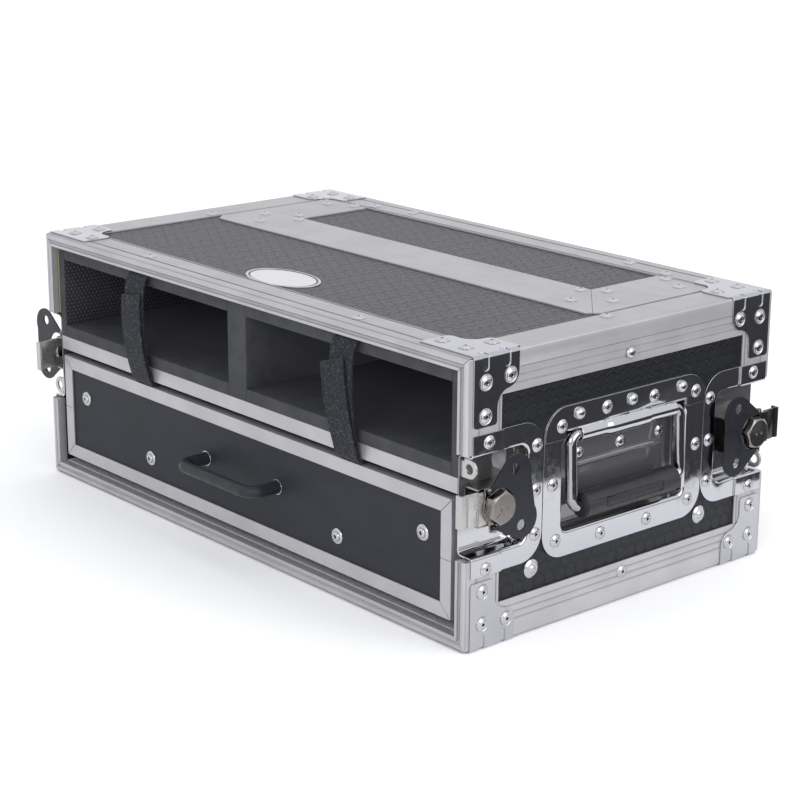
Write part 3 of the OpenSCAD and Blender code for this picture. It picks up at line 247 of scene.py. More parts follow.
def rolled_metal(name, colour, roughness, grain=0.2, metallic=1.0):
    """Plated or rolled sheet with faint handling marks."""
    finish = Finish(name, colour, roughness, metallic)
    marks = finish.noise(900, 4.0)
    patches = finish.noise(60)
    finish.rough(finish.span(patches, 0.3, 0.7, roughness * 0.8, roughness * 1.25))
    finish.relief(marks, 0.00002, grain)
    return finish.material


def bright_chrome(name, colour, roughness, floor=None, painted_shade_from=0.0):
    """Mirror plate, a little wavy as pressed sheet is. A dish's floor may carry painted shade, darker and less
    metallic, from some height up.
    """
    finish = Finish(name, colour, roughness, metallic=1.0)
    if floor:
        below, above = DISH_BLUR
        inside = finish.span(finish.reach(X), *DISH_X, 1, 0)
        high = finish.span(finish.along(Z), painted_shade_from - below, painted_shade_from + above)
        shade = finish.math("MULTIPLY", inside, high)
        # painted shade on the dish's floor, inside the recess and above the given height
        finish.colour(finish.blend(shade, colour, floor))
        finish.put(finish.shader.inputs["Metallic"], finish.span(shade, 0, 1, 1, SHADED_FLOOR_METALLIC))
    waves = finish.noise(45, 1.0)
    smears = finish.noise(180)
    finish.rough(finish.span(smears, 0.35, 0.7, roughness * 0.7, roughness * 1.5))
    finish.relief(waves, 0.0004, 0.35)
    return finish.material


def hexagon_laminate(name, colour, across, up, size, roughness, gloss, lining=None):
    """Black laminate embossed with hexagons that hold a fine crossed grain, with painted shade in the grooves.
    A lining covers its ends.
    """
    finish = Finish(name, colour, roughness, Specular_IOR_Level=gloss)
    edge = finish.cells(across, up, size)
    groove = finish.span(edge, 0.44, 0.495)
    rate = 2 * math.pi / WEAVE / math.sqrt(2)
    slants = (tuple((a + way * b) * rate for a, b in zip(across, up)) for way in (1, -1))
    crossed = finish.math("MULTIPLY", *(finish.math("SINE", finish.dot(slant)) for slant in slants))
    wear = finish.noise(400, 4.0)
    flecks = finish.span(finish.noise(1100, roughness=0.7), 0.42, 0.68)
    mottled = finish.blend(flecks, colour, scaled(colour, 1.5, 0.004))
    # painted shade: the grooves between the hexagons are darker
    tone = finish.blend(finish.math("MULTIPLY", groove, 0.7), mottled, scaled(colour, 0.45))
    if lining:
        tone = finish.blend(finish.math("GREATER_THAN", finish.reach(Y), LINING_Y), tone, lining)
    finish.colour(tone)
    finish.rough(finish.span(wear, 0.3, 0.7, roughness * 0.85, roughness * 1.15))
    finish.relief(crossed, 0.00005, 0.6)
    finish.relief(finish.math("SUBTRACT", 1.0, groove), 0.0005, 0.9)
    return finish.material


def grained_laminate(name, colour, roughness):
    """Dark laminate with a soft leather grain."""
    finish = Finish(name, colour, roughness, Specular_IOR_Level=0.25)
    grain = finish.noise(420, 5.0, roughness=0.6)
    cloud = finish.noise((25, 25, 60))
    finish.colour(finish.blend(finish.span(cloud, 0.3, 0.7), colour, scaled(colour, 1.18)))
    finish.relief(grain, 0.0004, 0.6)
    return finish.material


def bare_plywood(name, colour):
    """Face of a plywood board with its grain along X."""
    finish = Finish(name, colour, roughness=0.62)
    rings = finish.noise((6, 55, 300), 5.0, roughness=0.6)
    finish.colour(finish.blend(finish.span(rings, 0.35, 0.65), scaled(colour, 0.72), colour))
    finish.relief(rings, 0.0002, 0.3)
    return finish.material


def dense_foam(name, colour, wood=None):
    """Dense foam with painted light in its middle, or with wood a knobbed side wall that has plywood beside it,
    painted shade in its pits and painted light on its knob tops.
    """
    finish = Finish(name, colour, roughness=0.95, Specular_IOR_Level=0.2)
    pores = finish.noise(2600, 2.0)
    patches = finish.noise(70)
    tone = finish.blend(finish.span(patches, 0.3, 0.7), colour, scaled(colour, 1.25))
    if wood:
        inside = finish.span(finish.along(Y), *(depth - FACE_Y for depth in FOAM_FACE))
        edge = finish.span(finish.cells((0, 1, 0), (0, 0, 1), KNOB), 0.12, 0.42)
        top = finish.math("MULTIPLY", inside, finish.math("SUBTRACT", 1.0, edge))
        # painted shade: the knobbed face behind the front face is darker, as in its pits
        tone = finish.blend(finish.math("MULTIPLY", inside, 0.6), tone, scaled(colour, 0.3))
        # painted light: the knob tops are lighter
        tone = finish.blend(top, tone, scaled(colour, 1.6))
        outer = finish.math("GREATER_THAN", finish.reach(X), FOAM_X)
        beside = finish.math("MULTIPLY", outer, finish.math("SUBTRACT", 1.0, inside))
        tone = finish.blend(beside, tone, wood)
        finish.relief(top, 0.0006, 0.7)
    else:
        # painted light: lighter towards the middle of the bays
        painted_light = finish.span(finish.reach(Y), *FOAM_LIT_Y, 1, 0)
        tone = finish.blend(painted_light, tone, scaled(colour, 2.2))
    finish.colour(tone)
    finish.relief(pores, 0.0002, 0.4)
    return finish.material


def loop_fabric(name, colour):
    """Napped face of a hook-and-loop strap."""
    sheen = {"Sheen_Weight": 0.1, "Sheen_Roughness": 0.5}
    finish = Finish(name, colour, roughness=0.9, Specular_IOR_Level=0.25, **sheen)
    fluff = finish.noise(650, 4.0, roughness=0.75)
    tufts = finish.noise((400, 400, 500))
    share = finish.math("MULTIPLY", finish.span(fluff, 0.48, 0.66), finish.span(tufts, 0.4, 0.6))
    finish.colour(finish.blend(share, colour, scaled(colour, 4, 0.05)))
    finish.relief(fluff, 0.0005, 0.8)
    return finish.material


def moulded_rubber(name, colour, roughness):
    """Moulded rubber with a fine skin and scuffs."""
    finish = Finish(name, colour, roughness, Specular_IOR_Level=0.45)
    skin = finish.noise(1500)
    scuffs = finish.noise(120, 4.0)
    finish.rough(finish.span(scuffs, 0.35, 0.7, roughness * 0.85, roughness * 1.25))
    finish.relief(skin, 0.0001, 0.35)
    return finish.material


def painted_steel(name, colour, roughness):
    """Powder coat with a faint peel and dust."""
    finish = Finish(name, colour, roughness, Specular_IOR_Level=0.3)
    peel = finish.noise(700, 2.0)
    dust = finish.noise(150, 4.0)
    finish.rough(finish.span(dust, 0.3, 0.75, roughness * 0.85, roughness * 1.3))
    finish.relief(peel, 0.00006, 0.4)
    return finish.material


def ringed_plate(name, colour, low, high):
    """Pale field inside a thin dark ring, for an oval between two corners."""
    finish = Finish(name, colour, roughness=0.35, metallic=0.3)
    middle, half = (low + high) / 2, (high - low) / 2
    flat = finish.vector("SUBTRACT", finish.place, tuple(middle))
    flat = finish.vector("MULTIPLY", flat, (1 / half.x, 1 / half.y, 0))
    reach = finish.vector("LENGTH", flat)
    line = finish.math("MULTIPLY", finish.span(reach, 0.87, 0.885), finish.span(reach, 0.925, 0.94, 1, 0))
    metal = finish.span(reach, 0.93, 0.94)
    finish.put(finish.shader.inputs["Metallic"], finish.math("MAXIMUM", metal, 0.3))
    finish.colour(finish.blend(line, colour, PLATE_LINE))
    return finish.material


def colour_property(name, description, value):
    return bpy.props.FloatVectorProperty(
        name=name, description=description, default=value, subtype="COLOR", min=0, max=1
    )


def length_property(name, description, value):
    return bpy.props.FloatProperty(
        name=name, description=description, default=value, subtype="DISTANCE", unit="LENGTH"
    )


class RoadCaseColours(bpy.types.PropertyGroup):
    """Colours of the case's finishes."""

    aluminium: colour_property("Aluminium", "Satin extrusions round the sides", (0.45, 0.44, 0.46))
    # painted shade: a darker copy of the aluminium for the top faces
    shaded_top_aluminium: colour_property("Top aluminium", "Satin flanges and strips on the top", (0.4, 0.39, 0.405))
    chrome: colour_property("Chrome", "Pressed dishes and covers", (0.52, 0.52, 0.555))
    wire: colour_property("Wire", "Bails of the handles", (0.36, 0.355, 0.37))
    # painted shade: colour of the shaded floors of the pressed dishes
    dish: colour_property("Dish", "Floors of the pressed dishes", (0.22, 0.22, 0.232))
    brace: colour_property("Brace", "Polished corner braces", (0.47, 0.47, 0.505))
    laminate: colour_property("Side laminate", "Hexagon laminate", (0.006, 0.007, 0.010))
    # painted light: a lighter copy of the side laminate for the faces that look up
    lit_top_laminate: colour_property("Top laminate", "Hexagon laminate on the top", (0.058, 0.055, 0.06))
    drawer: colour_property("Drawer laminate", "Front of the drawer", (0.017, 0.018, 0.024))
    plywood: colour_property("Plywood", "Bottom of the drawer", (0.42, 0.29, 0.17))
    edge_wood: colour_property("Edge wood", "Plywood edge beside the foam", (0.24, 0.22, 0.13))
    foam: colour_property("Foam", "Lining of the bays", (0.05, 0.051, 0.057))
    strap: colour_property("Strap", "Hook-and-loop straps", (0.006, 0.0075, 0.012))
    rubber: colour_property("Rubber", "Grips of the handles", (0.014, 0.014, 0.016))
    wing: colour_property("Wing", "Butterfly wings", (0.012, 0.013, 0.018))
    bar: colour_property("Bar", "Pull handle of the drawer", (0.018, 0.021, 0.026))
    nickel: colour_property("Nickel", "Front hooks and padlock eyes", (0.46, 0.455, 0.45))
    spindle: colour_property("Spindle", "Spindles with their nuts", (0.25, 0.235, 0.225))
    rear_hook: colour_property("Rear hook", "Hooks of the rear latches", (0.07, 0.07, 0.075))
    plate: colour_property("Plate", "Blank field of the oval plate", (0.6, 0.59, 0.61))
    steel: colour_property("Steel", "Latch bases", (0.3, 0.285, 0.27))
    zinc: colour_property("Zinc", "Drawer runners", (0.5, 0.5, 0.52))
    fastener: colour_property("Fastener", "Rivets and bolts", (0.5, 0.5, 0.52))


class RoadCaseSizes(bpy.types.PropertyGroup):
    """Sizes of the details that the looks add."""

    edge: length_property("Edge", "Rounding of metal edges", 0.00025)
    hexagon: length_property("Hexagon", "Width of the embossed hexagons", 0.0105)
    strap: length_property("Strap", "Thickness of a strap", 0.0013)


def colours():
    return bpy.context.scene.road_case_colours


def sizes():
    return bpy.context.scene.road_case_sizes


# Meshes


def merged(node):
    """A CAD node's mesh as whole faces, in a new bmesh."""
    mesh = bmesh.new()
    mesh.from_mesh(frame["nodes"][node].data)
    bmesh.ops.remove_doubles(mesh, verts=mesh.verts, dist=SAME_POINT)
    bmesh.ops.dissolve_degenerate(mesh, dist=TINY, edges=mesh.edges)
    bmesh.ops.dissolve_limit(mesh, angle_limit=SAME_PLANE, verts=mesh.verts, edges=mesh.edges)
    return mesh


def body_of(node):
    return frame["nodes"][node]["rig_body"]


def finished(name, mesh, finish, body, smooth=30):
    """Turns a bmesh into a piece that rides on a body."""
    data = bpy.data.meshes.new(name)
    mesh.to_mesh(data)
    mesh.free()
    for material in finish if isinstance(finish, (list, tuple)) else [finish]:
        data.materials.append(material)
    data.shade_smooth()
    data.set_sharp_from_angle(angle=math.radians(smooth))
    made = bpy.data.objects.new(name, data)
    bpy.context.scene.collection.objects.link(made)
    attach(made, body)
    return made


def soften(made, width, angle=35):
    """Rounds the sharp edges of a finished piece."""
    edge = made.modifiers.new("Edge", "BEVEL")
    edge.width = width
    edge.segments = 2
    edge.limit_method = "ANGLE"
    edge.angle_limit = math.radians(angle)
    edge.use_clamp_overlap = False
    edge.harden_normals = True


def dressed(node, finish, width=None):
    """A CAD node's form with rounded edges, which stands for the node."""
    made = finished(node + "_dressed", merged(node), finish, body_of(node))
    soften(made, sizes().edge if width is None else width)
    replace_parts(made, node)
    return made


def painted(node, finish):
    """Gives a CAD node that stays a better material."""
    for slot in frame["nodes"][node].material_slots:
        slot.material = finish


def turned(profile, steps):
    """A closed solid turned about Z from (radius, height) points in millimetres, from axis to axis."""
    mesh = bmesh.new()
    points = [mesh.verts.new((r * MM, 0, h * MM)) for r, h in profile]
    edges = [mesh.edges.new(pair) for pair in zip(points, points[1:])]
    bmesh.ops.spin(
        mesh,
        geom=points + edges,
        axis=(0, 0, 1),
        cent=(0, 0, 0),
        angle=2 * math.pi,
        steps=steps,
        use_merge=True,
    )
    bmesh.ops.remove_doubles(mesh, verts=mesh.verts, dist=TINY)
    bmesh.ops.recalc_face_normals(mesh, faces=mesh.faces)
    return mesh


def smoothed(line, steps=4):
    """A Catmull-Rom curve through the points."""
    points = [line[0] * 2 - line[1], *line, line[-1] * 2 - line[-2]]
    curve = []
    for a, b, c, d in zip(points, points[1:], points[2:], points[3:]):
        for i in range(steps):
            t = i / steps
            curve.append(
                0.5
                * (2 * b + (c - a) * t + (2 * a - 5 * b + 4 * c - d) * t * t + (3 * b - a - 3 * c + d) * t**3)
            )
    return [*curve, line[-1]]


def islands(node):
    """Lowest and highest corner of each separate solid of a CAD node."""
    mesh = merged(node)
    left = set(mesh.verts)
    found = []
    while left:
        front = [left.pop()]
        corners = [front[0].co.copy(), front[0].co.copy()]
        while front:
            vert = front.pop()
            corners = [Vector(map(min, corners[0], vert.co)), Vector(map(max, corners[1], vert.co))]
            for edge in vert.link_edges:
                other = edge.other_vert(vert)
                if other in left:
                    left.remove(other)
                    front.append(other)
        found.append(corners)
    mesh.free()
    return sorted(found, key=lambda c: tuple(round(v, 5) for v in (*c[0], *c[1])))


def standing(low, high):
    """Matrix that puts a head modelled about Z on the flat end of a fastener's box."""
    size = high - low
    axis = min(range(3), key=lambda i: size[i])
    middle = (low + high) / 2
    if axis == 1:
        out, base = Vector((0, -1, 0)), Vector((middle.x, high.y, middle.z))
    elif axis == 0:
        way = 1 if middle.x > 0 else -1
        out, base = Vector((way, 0, 0)), Vector((low.x if way > 0 else high.x, middle.y, middle.z))
    else:
        out, base = Vector((0, 0, 1)), Vector((middle.x, middle.y, low.z))
    return Matrix.Translation(base) @ out.to_track_quat("Z", "Y").to_matrix().to_4x4()


def repeated(mesh, template, places):
    """Adds the template to the mesh at each place."""
    data = bpy.data.meshes.new("template")
    template.to_mesh(data)
    template.free()
    for place in places:
        before = len(mesh.verts)
        mesh.from_mesh(data)
        mesh.verts.ensure_lookup_table()
        bmesh.ops.transform(mesh, matrix=place, verts=mesh.verts[before:])
    bpy.data.meshes.remove(data)


# Operators


class RoadCaseOperator(bpy.types.Operator):
    bl_options = {"REGISTER", "UNDO"}


class ROADCASE_OT_panels(RoadCaseOperator):
    """Laminate of the top, bottom, sides and shelf"""

    bl_idname = "roadcase.panels"
    bl_label = "Panels"

    def execute(self, context):
        size, lining = sizes().hexagon, tuple(colours().aluminium)
        # the top laminate colour is a lit copy of the side laminate, painted light
        black, painted_light = tuple(colours().laminate), tuple(colours().lit_top_laminate)
        upright, flat = ((0, 1, 0), (0, 0, 1)), ((0, 1, 0), (1, 0, 0))
        side = hexagon_laminate("side_laminate", black, *upright, size, roughness=0.36, gloss=0.28)
        top = hexagon_laminate("lit_top_laminate", painted_light, *flat, size, roughness=0.5, gloss=0.3)
        lined = hexagon_laminate("lined_laminate", painted_light, *flat, size, roughness=0.5, gloss=0.3, lining=lining)
        for name in SIDES:
            painted(f"side_panel_{name}", side)
        for node in ("top_panel", "shelf_board"):
            painted(node, top)
        painted("bottom_panel", lined)
        return {"FINISHED"}


class ROADCASE_OT_frame(RoadCaseOperator):
    """Extrusions round both faces, edge angles, strips and the drawer's trim"""

    bl_idname = "roadcase.frame"
    bl_label = "Frame"

    WIDTH = 0.0004  # of a rounded edge

    def execute(self, context):
        tones = tuple(colours().aluminium), tuple(colours().shaded_top_aluminium)
        across, deep, up = (satin_aluminium(f"aluminium_{'xyz'[i]}", i, *tones) for i in range(3))
        for node in ("front_rails", "rear_rails", "shelf_strips", "hatch_trim", "drawer_trim"):
            dressed(node, across, self.WIDTH)
        for node in ("front_posts", "rear_posts"):
            dressed(node, up, self.WIDTH)
        dressed("edge_angles", deep, self.WIDTH)
        return {"FINISHED"}


class ROADCASE_OT_braces(RoadCaseOperator):
    """Polished corner braces"""

    bl_idname = "roadcase.braces"
    bl_label = "Corner braces"

    def execute(self, context):
        finish = bright_chrome("polished_brace", tuple(colours().brace), roughness=0.1)
        for node in ("corner_braces_top", "corner_braces_bottom"):
            dressed(node, finish)
        return {"FINISHED"}


class ROADCASE_OT_badge(RoadCaseOperator):
    """Blank oval plate on the top"""

    bl_idname = "roadcase.badge"
    bl_label = "Oval plate"

    def execute(self, context):
        low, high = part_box("oval_plate")
        dressed("oval_plate", ringed_plate("plate_enamel", tuple(colours().plate), low, high))
        return {"FINISHED"}


class ROADCASE_OT_rivets(RoadCaseOperator):
    """Rivets and bolts, with turned heads in the places of the plain ones"""

    bl_idname = "roadcase.rivets"
    bl_label = "Rivets and bolts"

    # Sections of the heads, as radius and height in millimetres
    RIVET = [
        (0, 0), (4.95, 0), (5.1, 0.2), (5.0, 0.45), (4.5, 0.68), (4.1, 0.7), (3.95, 0.85), (3.4, 1.23),
        (2.6, 1.55), (1.85, 1.66), (1.4, 1.66), (1.2, 1.5), (1.1, 0.5), (0, 0.45),
    ]
    SUNK = [(0, 0), (5.9, 0), (5.95, 0.2), (5.6, 0.3), (5.35, 0.08), (5.0, 0.08)] + RIVET[2:]
    BALL = [
        (0, 0), (4.3, 0), (4.5, 0.4), (4.5, 1.0), (4.2, 1.8), (3.6, 2.5), (2.7, 3.05), (1.6, 3.4), (0.7, 3.5),
        (0, 3.5),
    ]
    BOLT = [
        (0, 0), (6.0, 0), (6.15, 0.25), (5.9, 0.6), (4.9, 1.25), (4.4, 1.2), (4.15, 0.9), (3.75, 0.95),
        (3.7, 1.6), (3.3, 2.05), (2.4, 2.35), (1.6, 2.4), (1.45, 2.2), (1.4, 1.3), (0, 1.25),
    ]

    COVER_Y, COVER_ROW_Z = 0.06, 0.1542  # the cover's half length, and the bottom of its upper row
    BRACE_Y, BRACE_Z = 0.1, (0.052, 0.162)  # braces lie beyond this depth and outside these heights
    BRACE_FACE_X, BRACE_FACE_Z = 0.266, 0.2125  # rivets reach past the first, or start above the second
    HOLE_R, HOLE_TOP = 0.00135, 0.0015  # faces of a head's hole lie inside and below these

    def kind(self, low, high):
        """Head for the rivet in a box: a ball in the cover's upper row, sunk in a brace, or plain."""
        middle = (low + high) / 2
        on_side = high.x - low.x < high.y - low.y
        if on_side and abs(middle.y) < self.COVER_Y and middle.z > self.COVER_ROW_Z:
            return "BALL"
        below, above = self.BRACE_Z
        on_brace = abs(middle.y) > self.BRACE_Y and not below <= middle.z <= above
        outer = max(abs(low.x), abs(high.x))
        if on_brace and (outer > self.BRACE_FACE_X if on_side else low.z > self.BRACE_FACE_Z):
            return "SUNK"
        return "RIVET"

    def execute(self, context):
        finish = rolled_metal("polished_fastener", tuple(colours().fastener), roughness=0.2, grain=0.1)
        # painted shade: a near-black finish for the holes in the heads
        hole_shade = painted_steel("fastener_hole_shade", HOLE_SHADE, roughness=0.6)
        heads = {"RIVET": [], "SUNK": [], "BALL": []}
        for low, high in islands("rivets"):
            heads[self.kind(low, high)].append(standing(low, high))
        self.place("rivets", heads, (finish, hole_shade), steps=24)
        bolts = [standing(low, high) for low, high in islands("drawer_bolts")]
        self.place("drawer_bolts", {"BOLT": bolts}, (finish, hole_shade), steps=28)
        painted("runner_bolts", finish)
        return {"FINISHED"}

    def place(self, node, heads, finish, steps):
        """Turned heads in one piece, with the second finish, painted shade, in their holes, which stands for
        the node.
        """
        mesh = bmesh.new()
        for profile, places in heads.items():
            head = turned(getattr(self, profile), steps)
            for face in head.faces:
                middle = face.calc_center_median()
                if profile != "BALL" and middle.xy.length < self.HOLE_R and middle.z < self.HOLE_TOP:
                    face.material_index = 1
            repeated(mesh, head, places)
        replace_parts(finished(node + "_dressed", mesh, finish, body_of(node), 45), node)


class ROADCASE_OT_handles(RoadCaseOperator):
    """Pressed dishes, covers, wire bails and rubber grips"""

    bl_idname = "roadcase.handles"
    bl_label = "Handles"

    def execute(self, context):
        chrome, floor = tuple(colours().chrome), tuple(colours().dish)
        sheet = bright_chrome("chrome_plate", chrome, roughness=0.07)
        # the dish floors carry painted shade
        dish = bright_chrome("dish_plate", chrome, roughness=0.09, floor=floor)
        wire = bright_chrome("wire_chrome", tuple(colours().wire), roughness=0.08)
        rubber = moulded_rubber("grip_rubber_skin", tuple(colours().rubber), roughness=0.48)
        for side in SIDES:
            dressed(f"handle_dish_{side}", dish)
            dressed(f"handle_cover_{side}", sheet)
            painted(f"handle_bail_{side}", wire)
            dressed(f"handle_grip_{side}", rubber)
        return {"FINISHED"}


class ROADCASE_OT_latches(RoadCaseOperator):
    """Latch dishes, bases, padlock eyes, spindles, hooks and wings"""

    bl_idname = "roadcase.latches"
    bl_label = "Latches"

    def execute(self, context):
        chrome, floor = tuple(colours().chrome), tuple(colours().dish)
        # painted shade on the latch dish floors above LATCH_SHADE_Z
        sheet = bright_chrome("latch_plate", chrome, roughness=0.08, floor=floor, painted_shade_from=LATCH_SHADE_Z)
        steel = rolled_metal("latch_steel", tuple(colours().steel), roughness=0.3, grain=0.4)
        nickel = rolled_metal("latch_nickel", tuple(colours().nickel), roughness=0.27, grain=0.3, metallic=0.8)
        turned_steel = rolled_metal("spindle_nickel", tuple(colours().spindle), roughness=0.24, grain=0.3)
        dark_steel = rolled_metal("rear_hook_steel", tuple(colours().rear_hook), roughness=0.3, grain=0.3)
        black = painted_steel("wing_coat", tuple(colours().wing), roughness=0.32)
        for side in SIDES:
            dressed(f"latch_dishes_{side}", sheet)
        dressed("latch_bases", steel)
        dressed("padlock_eyes", nickel)
        for corner in CORNERS:
            dressed(f"spindle_{corner}", turned_steel)
            dressed(f"hook_{corner}", dark_steel if corner.startswith("rear") else nickel)
            dressed(f"wing_{corner}", black)
        return {"FINISHED"}


class ROADCASE_OT_foam(RoadCaseOperator):
    """Foam lining of the two bays"""

    bl_idname = "roadcase.foam"
    bl_label = "Foam"

    def execute(self, context):
        colour = tuple(colours().foam)
        wall = dense_foam("foam_wall", colour, wood=tuple(colours().edge_wood))
        plain = dense_foam("foam_plain", colour)
        nodes = {"foam_side_left": wall, "foam_side_right": wall}
        nodes.update({"foam_divider": plain, "foam_floor": plain, "foam_top": plain})
        for node, finish in nodes.items():
            made = dressed(node, finish, width=0.0008)
        return {"FINISHED"}


class ROADCASE_OT_straps(RoadCaseOperator):
    """Hook-and-loop straps, each of two strands"""

    bl_idname = "roadcase.straps"
    bl_label = "Straps"

    COLUMNS = 7
    WAVE, WAVES = 0.0006, 35  # height of the unevenness, and how many grains to the metre
    FREE_ENDS = {"left": (-1.5, 4.0), "right": (-8.0, 8.0)}  # lean and slant of a front strand, in millimetres

    # Distance in front of the face and height of each strand's middle line, in millimetres
    BACK = [
        (-3.0, 201.0), (1.2, 200.8), (4.6, 198.6), (7.0, 194.0), (8.4, 186.0), (9.0, 172.0), (8.8, 158.0),
        (7.6, 143.0), (5.4, 129.0), (3.0, 118.5), (1.5, 113.6), (0.1, 111.9), (-3.0, 111.6), (-9.0, 111.6),
    ]
    FRONT = [
        (10.6, 184.5), (11.2, 178.0), (11.6, 168.0), (11.4, 156.0), (10.2, 143.0), (8.0, 130.0), (5.2, 119.0),
        (3.4, 113.4), (1.6, 110.6), (-1.0, 109.9), (-9.0, 109.8),
    ]

    def strand(self, name, node, points, finish, lean=0.0, slant=0.0):
        """One strand as wide as a CAD strap. Its upper end leans sideways by lean and is cut askew by slant."""
        low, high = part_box(node)
        width = high.x - low.x
        line = smoothed([Vector((0, -FACE_Y - f * MM, h * MM)) for f, h in points])
        mesh = bmesh.new()
        places = (low.x + width * i / (self.COLUMNS - 1) for i in range(self.COLUMNS))
        row = [mesh.verts.new((x, *line[0].yz)) for x in places]
        edges = [mesh.edges.new(pair) for pair in zip(row, row[1:])]
        for a, b in zip(line, line[1:]):
            grown = bmesh.ops.extrude_edge_only(mesh, edges=edges)["geom"]
            verts = [g for g in grown if isinstance(g, bmesh.types.BMVert)]
            edges = [g for g in grown if isinstance(g, bmesh.types.BMEdge)]
            bmesh.ops.translate(mesh, vec=b - a, verts=verts)
        floor = min(p.z for p in line)
        height = max(p.z for p in line) - floor
        for vert in mesh.verts:
            share = max(0.0, (vert.co.z - floor) / height)
            across = (vert.co.x - low.x) / width - 0.5
            vert.co.z += slant * MM * across * share * share
            vert.co.x += lean * MM * share * share
            vert.co.y += self.WAVE * noise.noise(vert.co * self.WAVES) * math.sin(math.pi * share)
        bmesh.ops.recalc_face_normals(mesh, faces=mesh.faces)
        made = finished(name, mesh, finish, "case", smooth=60)
        wall = made.modifiers.new("Thickness", "SOLIDIFY")
        wall.thickness = sizes().strap
        wall.offset = 0
        soften(made, width=0.0003, angle=60)
        return made

    def execute(self, context):
        finish = loop_fabric("strap_loops", tuple(colours().strap))
        for side, (lean, slant) in self.FREE_ENDS.items():
            node = f"strap_{side}"
            back = self.strand(f"strap_{side}_back", node, self.BACK, finish)
            self.strand(f"strap_{side}_front", node, self.FRONT, finish, lean, slant)
            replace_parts(back, node)
        return {"FINISHED"}


class ROADCASE_OT_drawer(RoadCaseOperator):
    """Drawer front, box, bottom, pull handle and runners"""

    bl_idname = "roadcase.drawer"
    bl_label = "Drawer"

    FOOT = 0.0055  # from an end of the pull handle to the middle of its foot
    # Section of the ring round a foot, as radius and height in millimetres
    RING = [(0, 0), (6.2, 0), (6.3, 0.4), (6.1, 0.9), (5.3, 1.1), (0, 1.1)]

    def execute(self, context):
        front = grained_laminate("drawer_laminate", tuple(colours().drawer), roughness=0.55)
        zinc = rolled_metal("runner_zinc", tuple(colours().zinc), roughness=0.32, grain=0.3)
        painted("drawer_front", front)
        painted("drawer_box", front)
        painted("drawer_bottom", bare_plywood("drawer_plywood", tuple(colours().plywood)))
        painted("pull_handle", painted_steel("pull_coat", tuple(colours().bar), roughness=0.4))
        low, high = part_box("pull_handle")
        mesh = bmesh.new()
        forward = Matrix.Rotation(math.pi / 2, 4, "X")
        feet = [
            Matrix.Translation((x, -FACE_Y, (low.z + high.z) / 2)) @ forward
            for x in (low.x + self.FOOT, high.x - self.FOOT)
        ]
        repeated(mesh, turned(self.RING, steps=32), feet)
        ring = rolled_metal("pull_ring", tuple(colours().fastener), roughness=0.2)
        finished("pull_rings", mesh, ring, body_of("pull_handle"), smooth=45)
        for node in ("runner_outers", "runner_middles", "runner_inners"):
            dressed(node, zinc, width=0.0002)
        return {"FINISHED"}


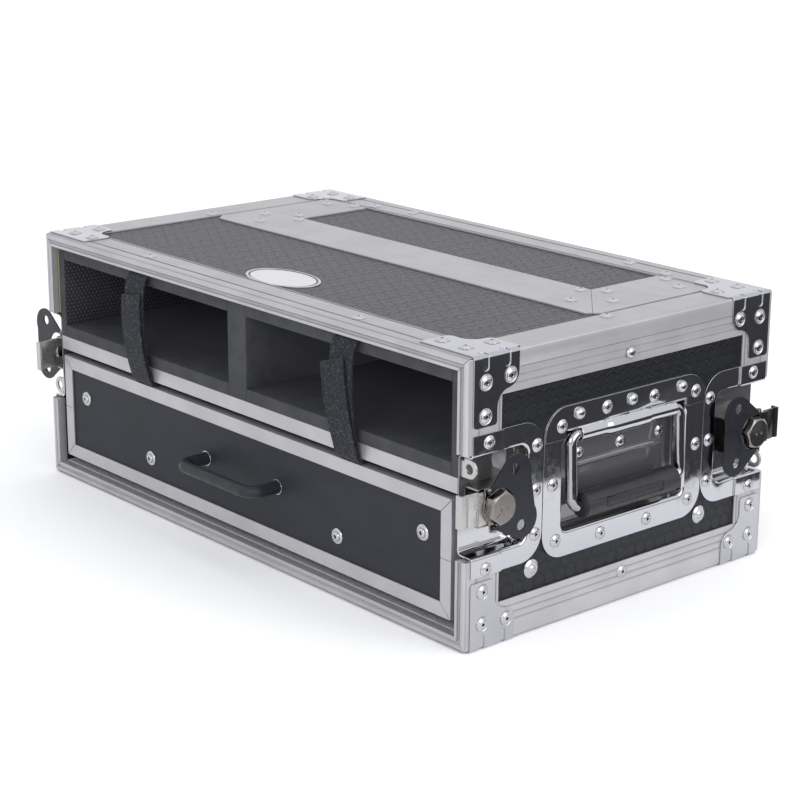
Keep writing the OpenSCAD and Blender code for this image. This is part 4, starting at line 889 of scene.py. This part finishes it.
class ROADCASE_OT_studio(RoadCaseOperator):
    """Pale floor, soft lights and the camera"""

    bl_idname = "roadcase.studio"
    bl_label = "Studio"

    # Camera, fitted to the case's corners in the photograph
    LENS = 92.913
    SENSOR = 36.0
    EYE = (1.2277, -1.0549, 0.5722)
    RIGHT = (0.6549683, 0.7556354, 0.0056194)
    UP = (-0.2173836, 0.1812908, 0.9591027)
    BACK = (0.7237132, -0.6294035, 0.2830025)

    # Sky, floor, the dark card that only reflections show, and softboxes: place, aim, size and power
    SKY = (0.97, 0.98, 1.0, 1)
    SKY_STRENGTH = 1.08
    FLOOR = (0.97, 0.97, 0.97)
    FLOOR_REACH = 30
    DARK = (0.015, 0.016, 0.018)
    CARD_Z = 0.002
    CARD = ((0.6, -0.3), (6, -0.3), (6, 6), (0.39, 6), (0.39, 0.3), (0.417, 0.236), (0.499, 0.132), (0.6, 0))
    LIGHTS = {
        "key": ((1.1, -1.6, 0.9), (0.15, -0.1, 0.1), (1.0, 0.8), 7),
        "side": ((2.6, 0.3, 1.2), (0, 0, 0.1), (2.0, 1.4), 25),
        "top": ((0.2, 0.3, 2.8), (0, 0, 0.1), (2.4, 2.4), 5),
    }

    def plane(self, name, corners, material):
        """A flat face that belongs to the stage."""
        mesh = bmesh.new()
        mesh.faces.new([mesh.verts.new(c) for c in corners])
        data = bpy.data.meshes.new(name)
        mesh.to_mesh(data)
        mesh.free()
        data.materials.append(material)
        made = bpy.data.objects.new(name, data)
        bpy.context.scene.collection.objects.link(made)
        return made

    def softbox(self, name, place, aim, size, power):
        """An oblong light turned toward a point."""
        light = bpy.data.lights.new(name, "AREA")
        light.shape = "RECTANGLE"
        light.size, light.size_y = size
        light.energy = power
        made = bpy.data.objects.new(name, light)
        made.location = place
        made.rotation_mode = "QUATERNION"
        made.rotation_quaternion = (Vector(place) - Vector(aim)).to_track_quat("Z", "Y")
        bpy.context.scene.collection.objects.link(made)

    def execute(self, context):
        scene = context.scene
        scene.view_settings.view_transform = "Standard"
        world = bpy.data.worlds.new("studio")
        world.use_nodes = True
        sky = world.node_tree.nodes["Background"].inputs
        sky["Color"].default_value = self.SKY
        sky["Strength"].default_value = self.SKY_STRENGTH
        scene.world = world
        pale = Finish("studio_floor", self.FLOOR, roughness=0.9)
        pale.relief(pale.noise(40, 2.0), 0.0001, 0.2)
        far = self.FLOOR_REACH
        self.plane("floor", [(-far, -far, 0), (far, -far, 0), (far, far, 0), (-far, far, 0)], pale.material)
        dark = Finish("studio_card", self.DARK, roughness=1.0)
        card = self.plane("dark_card", [(x, y, self.CARD_Z) for x, y in self.CARD], dark.material)
        card.visible_camera = card.visible_diffuse = card.visible_shadow = False
        for name, values in self.LIGHTS.items():
            self.softbox(name, *values)
        lens = bpy.data.cameras.new("camera")
        lens.lens = self.LENS
        lens.sensor_width = self.SENSOR
        camera = bpy.data.objects.new("camera", lens)
        turn = Matrix((self.RIGHT, self.UP, self.BACK)).transposed().to_4x4()
        camera.matrix_world = Matrix.Translation(self.EYE) @ turn
        scene.collection.objects.link(camera)
        scene.camera = camera
        return {"FINISHED"}


OPERATORS = (
    ROADCASE_OT_studio,
    ROADCASE_OT_panels,
    ROADCASE_OT_frame,
    ROADCASE_OT_braces,
    ROADCASE_OT_badge,
    ROADCASE_OT_rivets,
    ROADCASE_OT_handles,
    ROADCASE_OT_latches,
    ROADCASE_OT_foam,
    ROADCASE_OT_straps,
    ROADCASE_OT_drawer,
)


class ROADCASE_PT_sidebar(bpy.types.Panel):
    """Lists the case's operators"""

    bl_label = "Road Case"
    bl_idname = "ROADCASE_PT_sidebar"
    bl_space_type = "VIEW_3D"
    bl_region_type = "UI"
    bl_category = "Road Case"

    def draw(self, context):
        for group in (context.scene.road_case_colours, context.scene.road_case_sizes):
            for key in group.__annotations__:
                self.layout.prop(group, key)
        for operator in OPERATORS:
            self.layout.operator(operator.bl_idname)


GROUPS = {"road_case_colours": RoadCaseColours, "road_case_sizes": RoadCaseSizes}


def register():
    for group in GROUPS.values():
        bpy.utils.register_class(group)
    for key, group in GROUPS.items():
        setattr(bpy.types.Scene, key, bpy.props.PointerProperty(type=group))
    for operator in OPERATORS:
        bpy.utils.register_class(operator)
    bpy.utils.register_class(ROADCASE_PT_sidebar)


def unregister():
    bpy.utils.unregister_class(ROADCASE_PT_sidebar)
    for operator in reversed(OPERATORS):
        bpy.utils.unregister_class(operator)
    for key in GROUPS:
        delattr(bpy.types.Scene, key)
    for group in reversed(GROUPS.values()):
        bpy.utils.unregister_class(group)


def main():
    register()
    for operator in OPERATORS:
        group, name = operator.bl_idname.split(".")
        getattr(getattr(bpy.ops, group), name)()


if __name__ == "__main__":
    main()
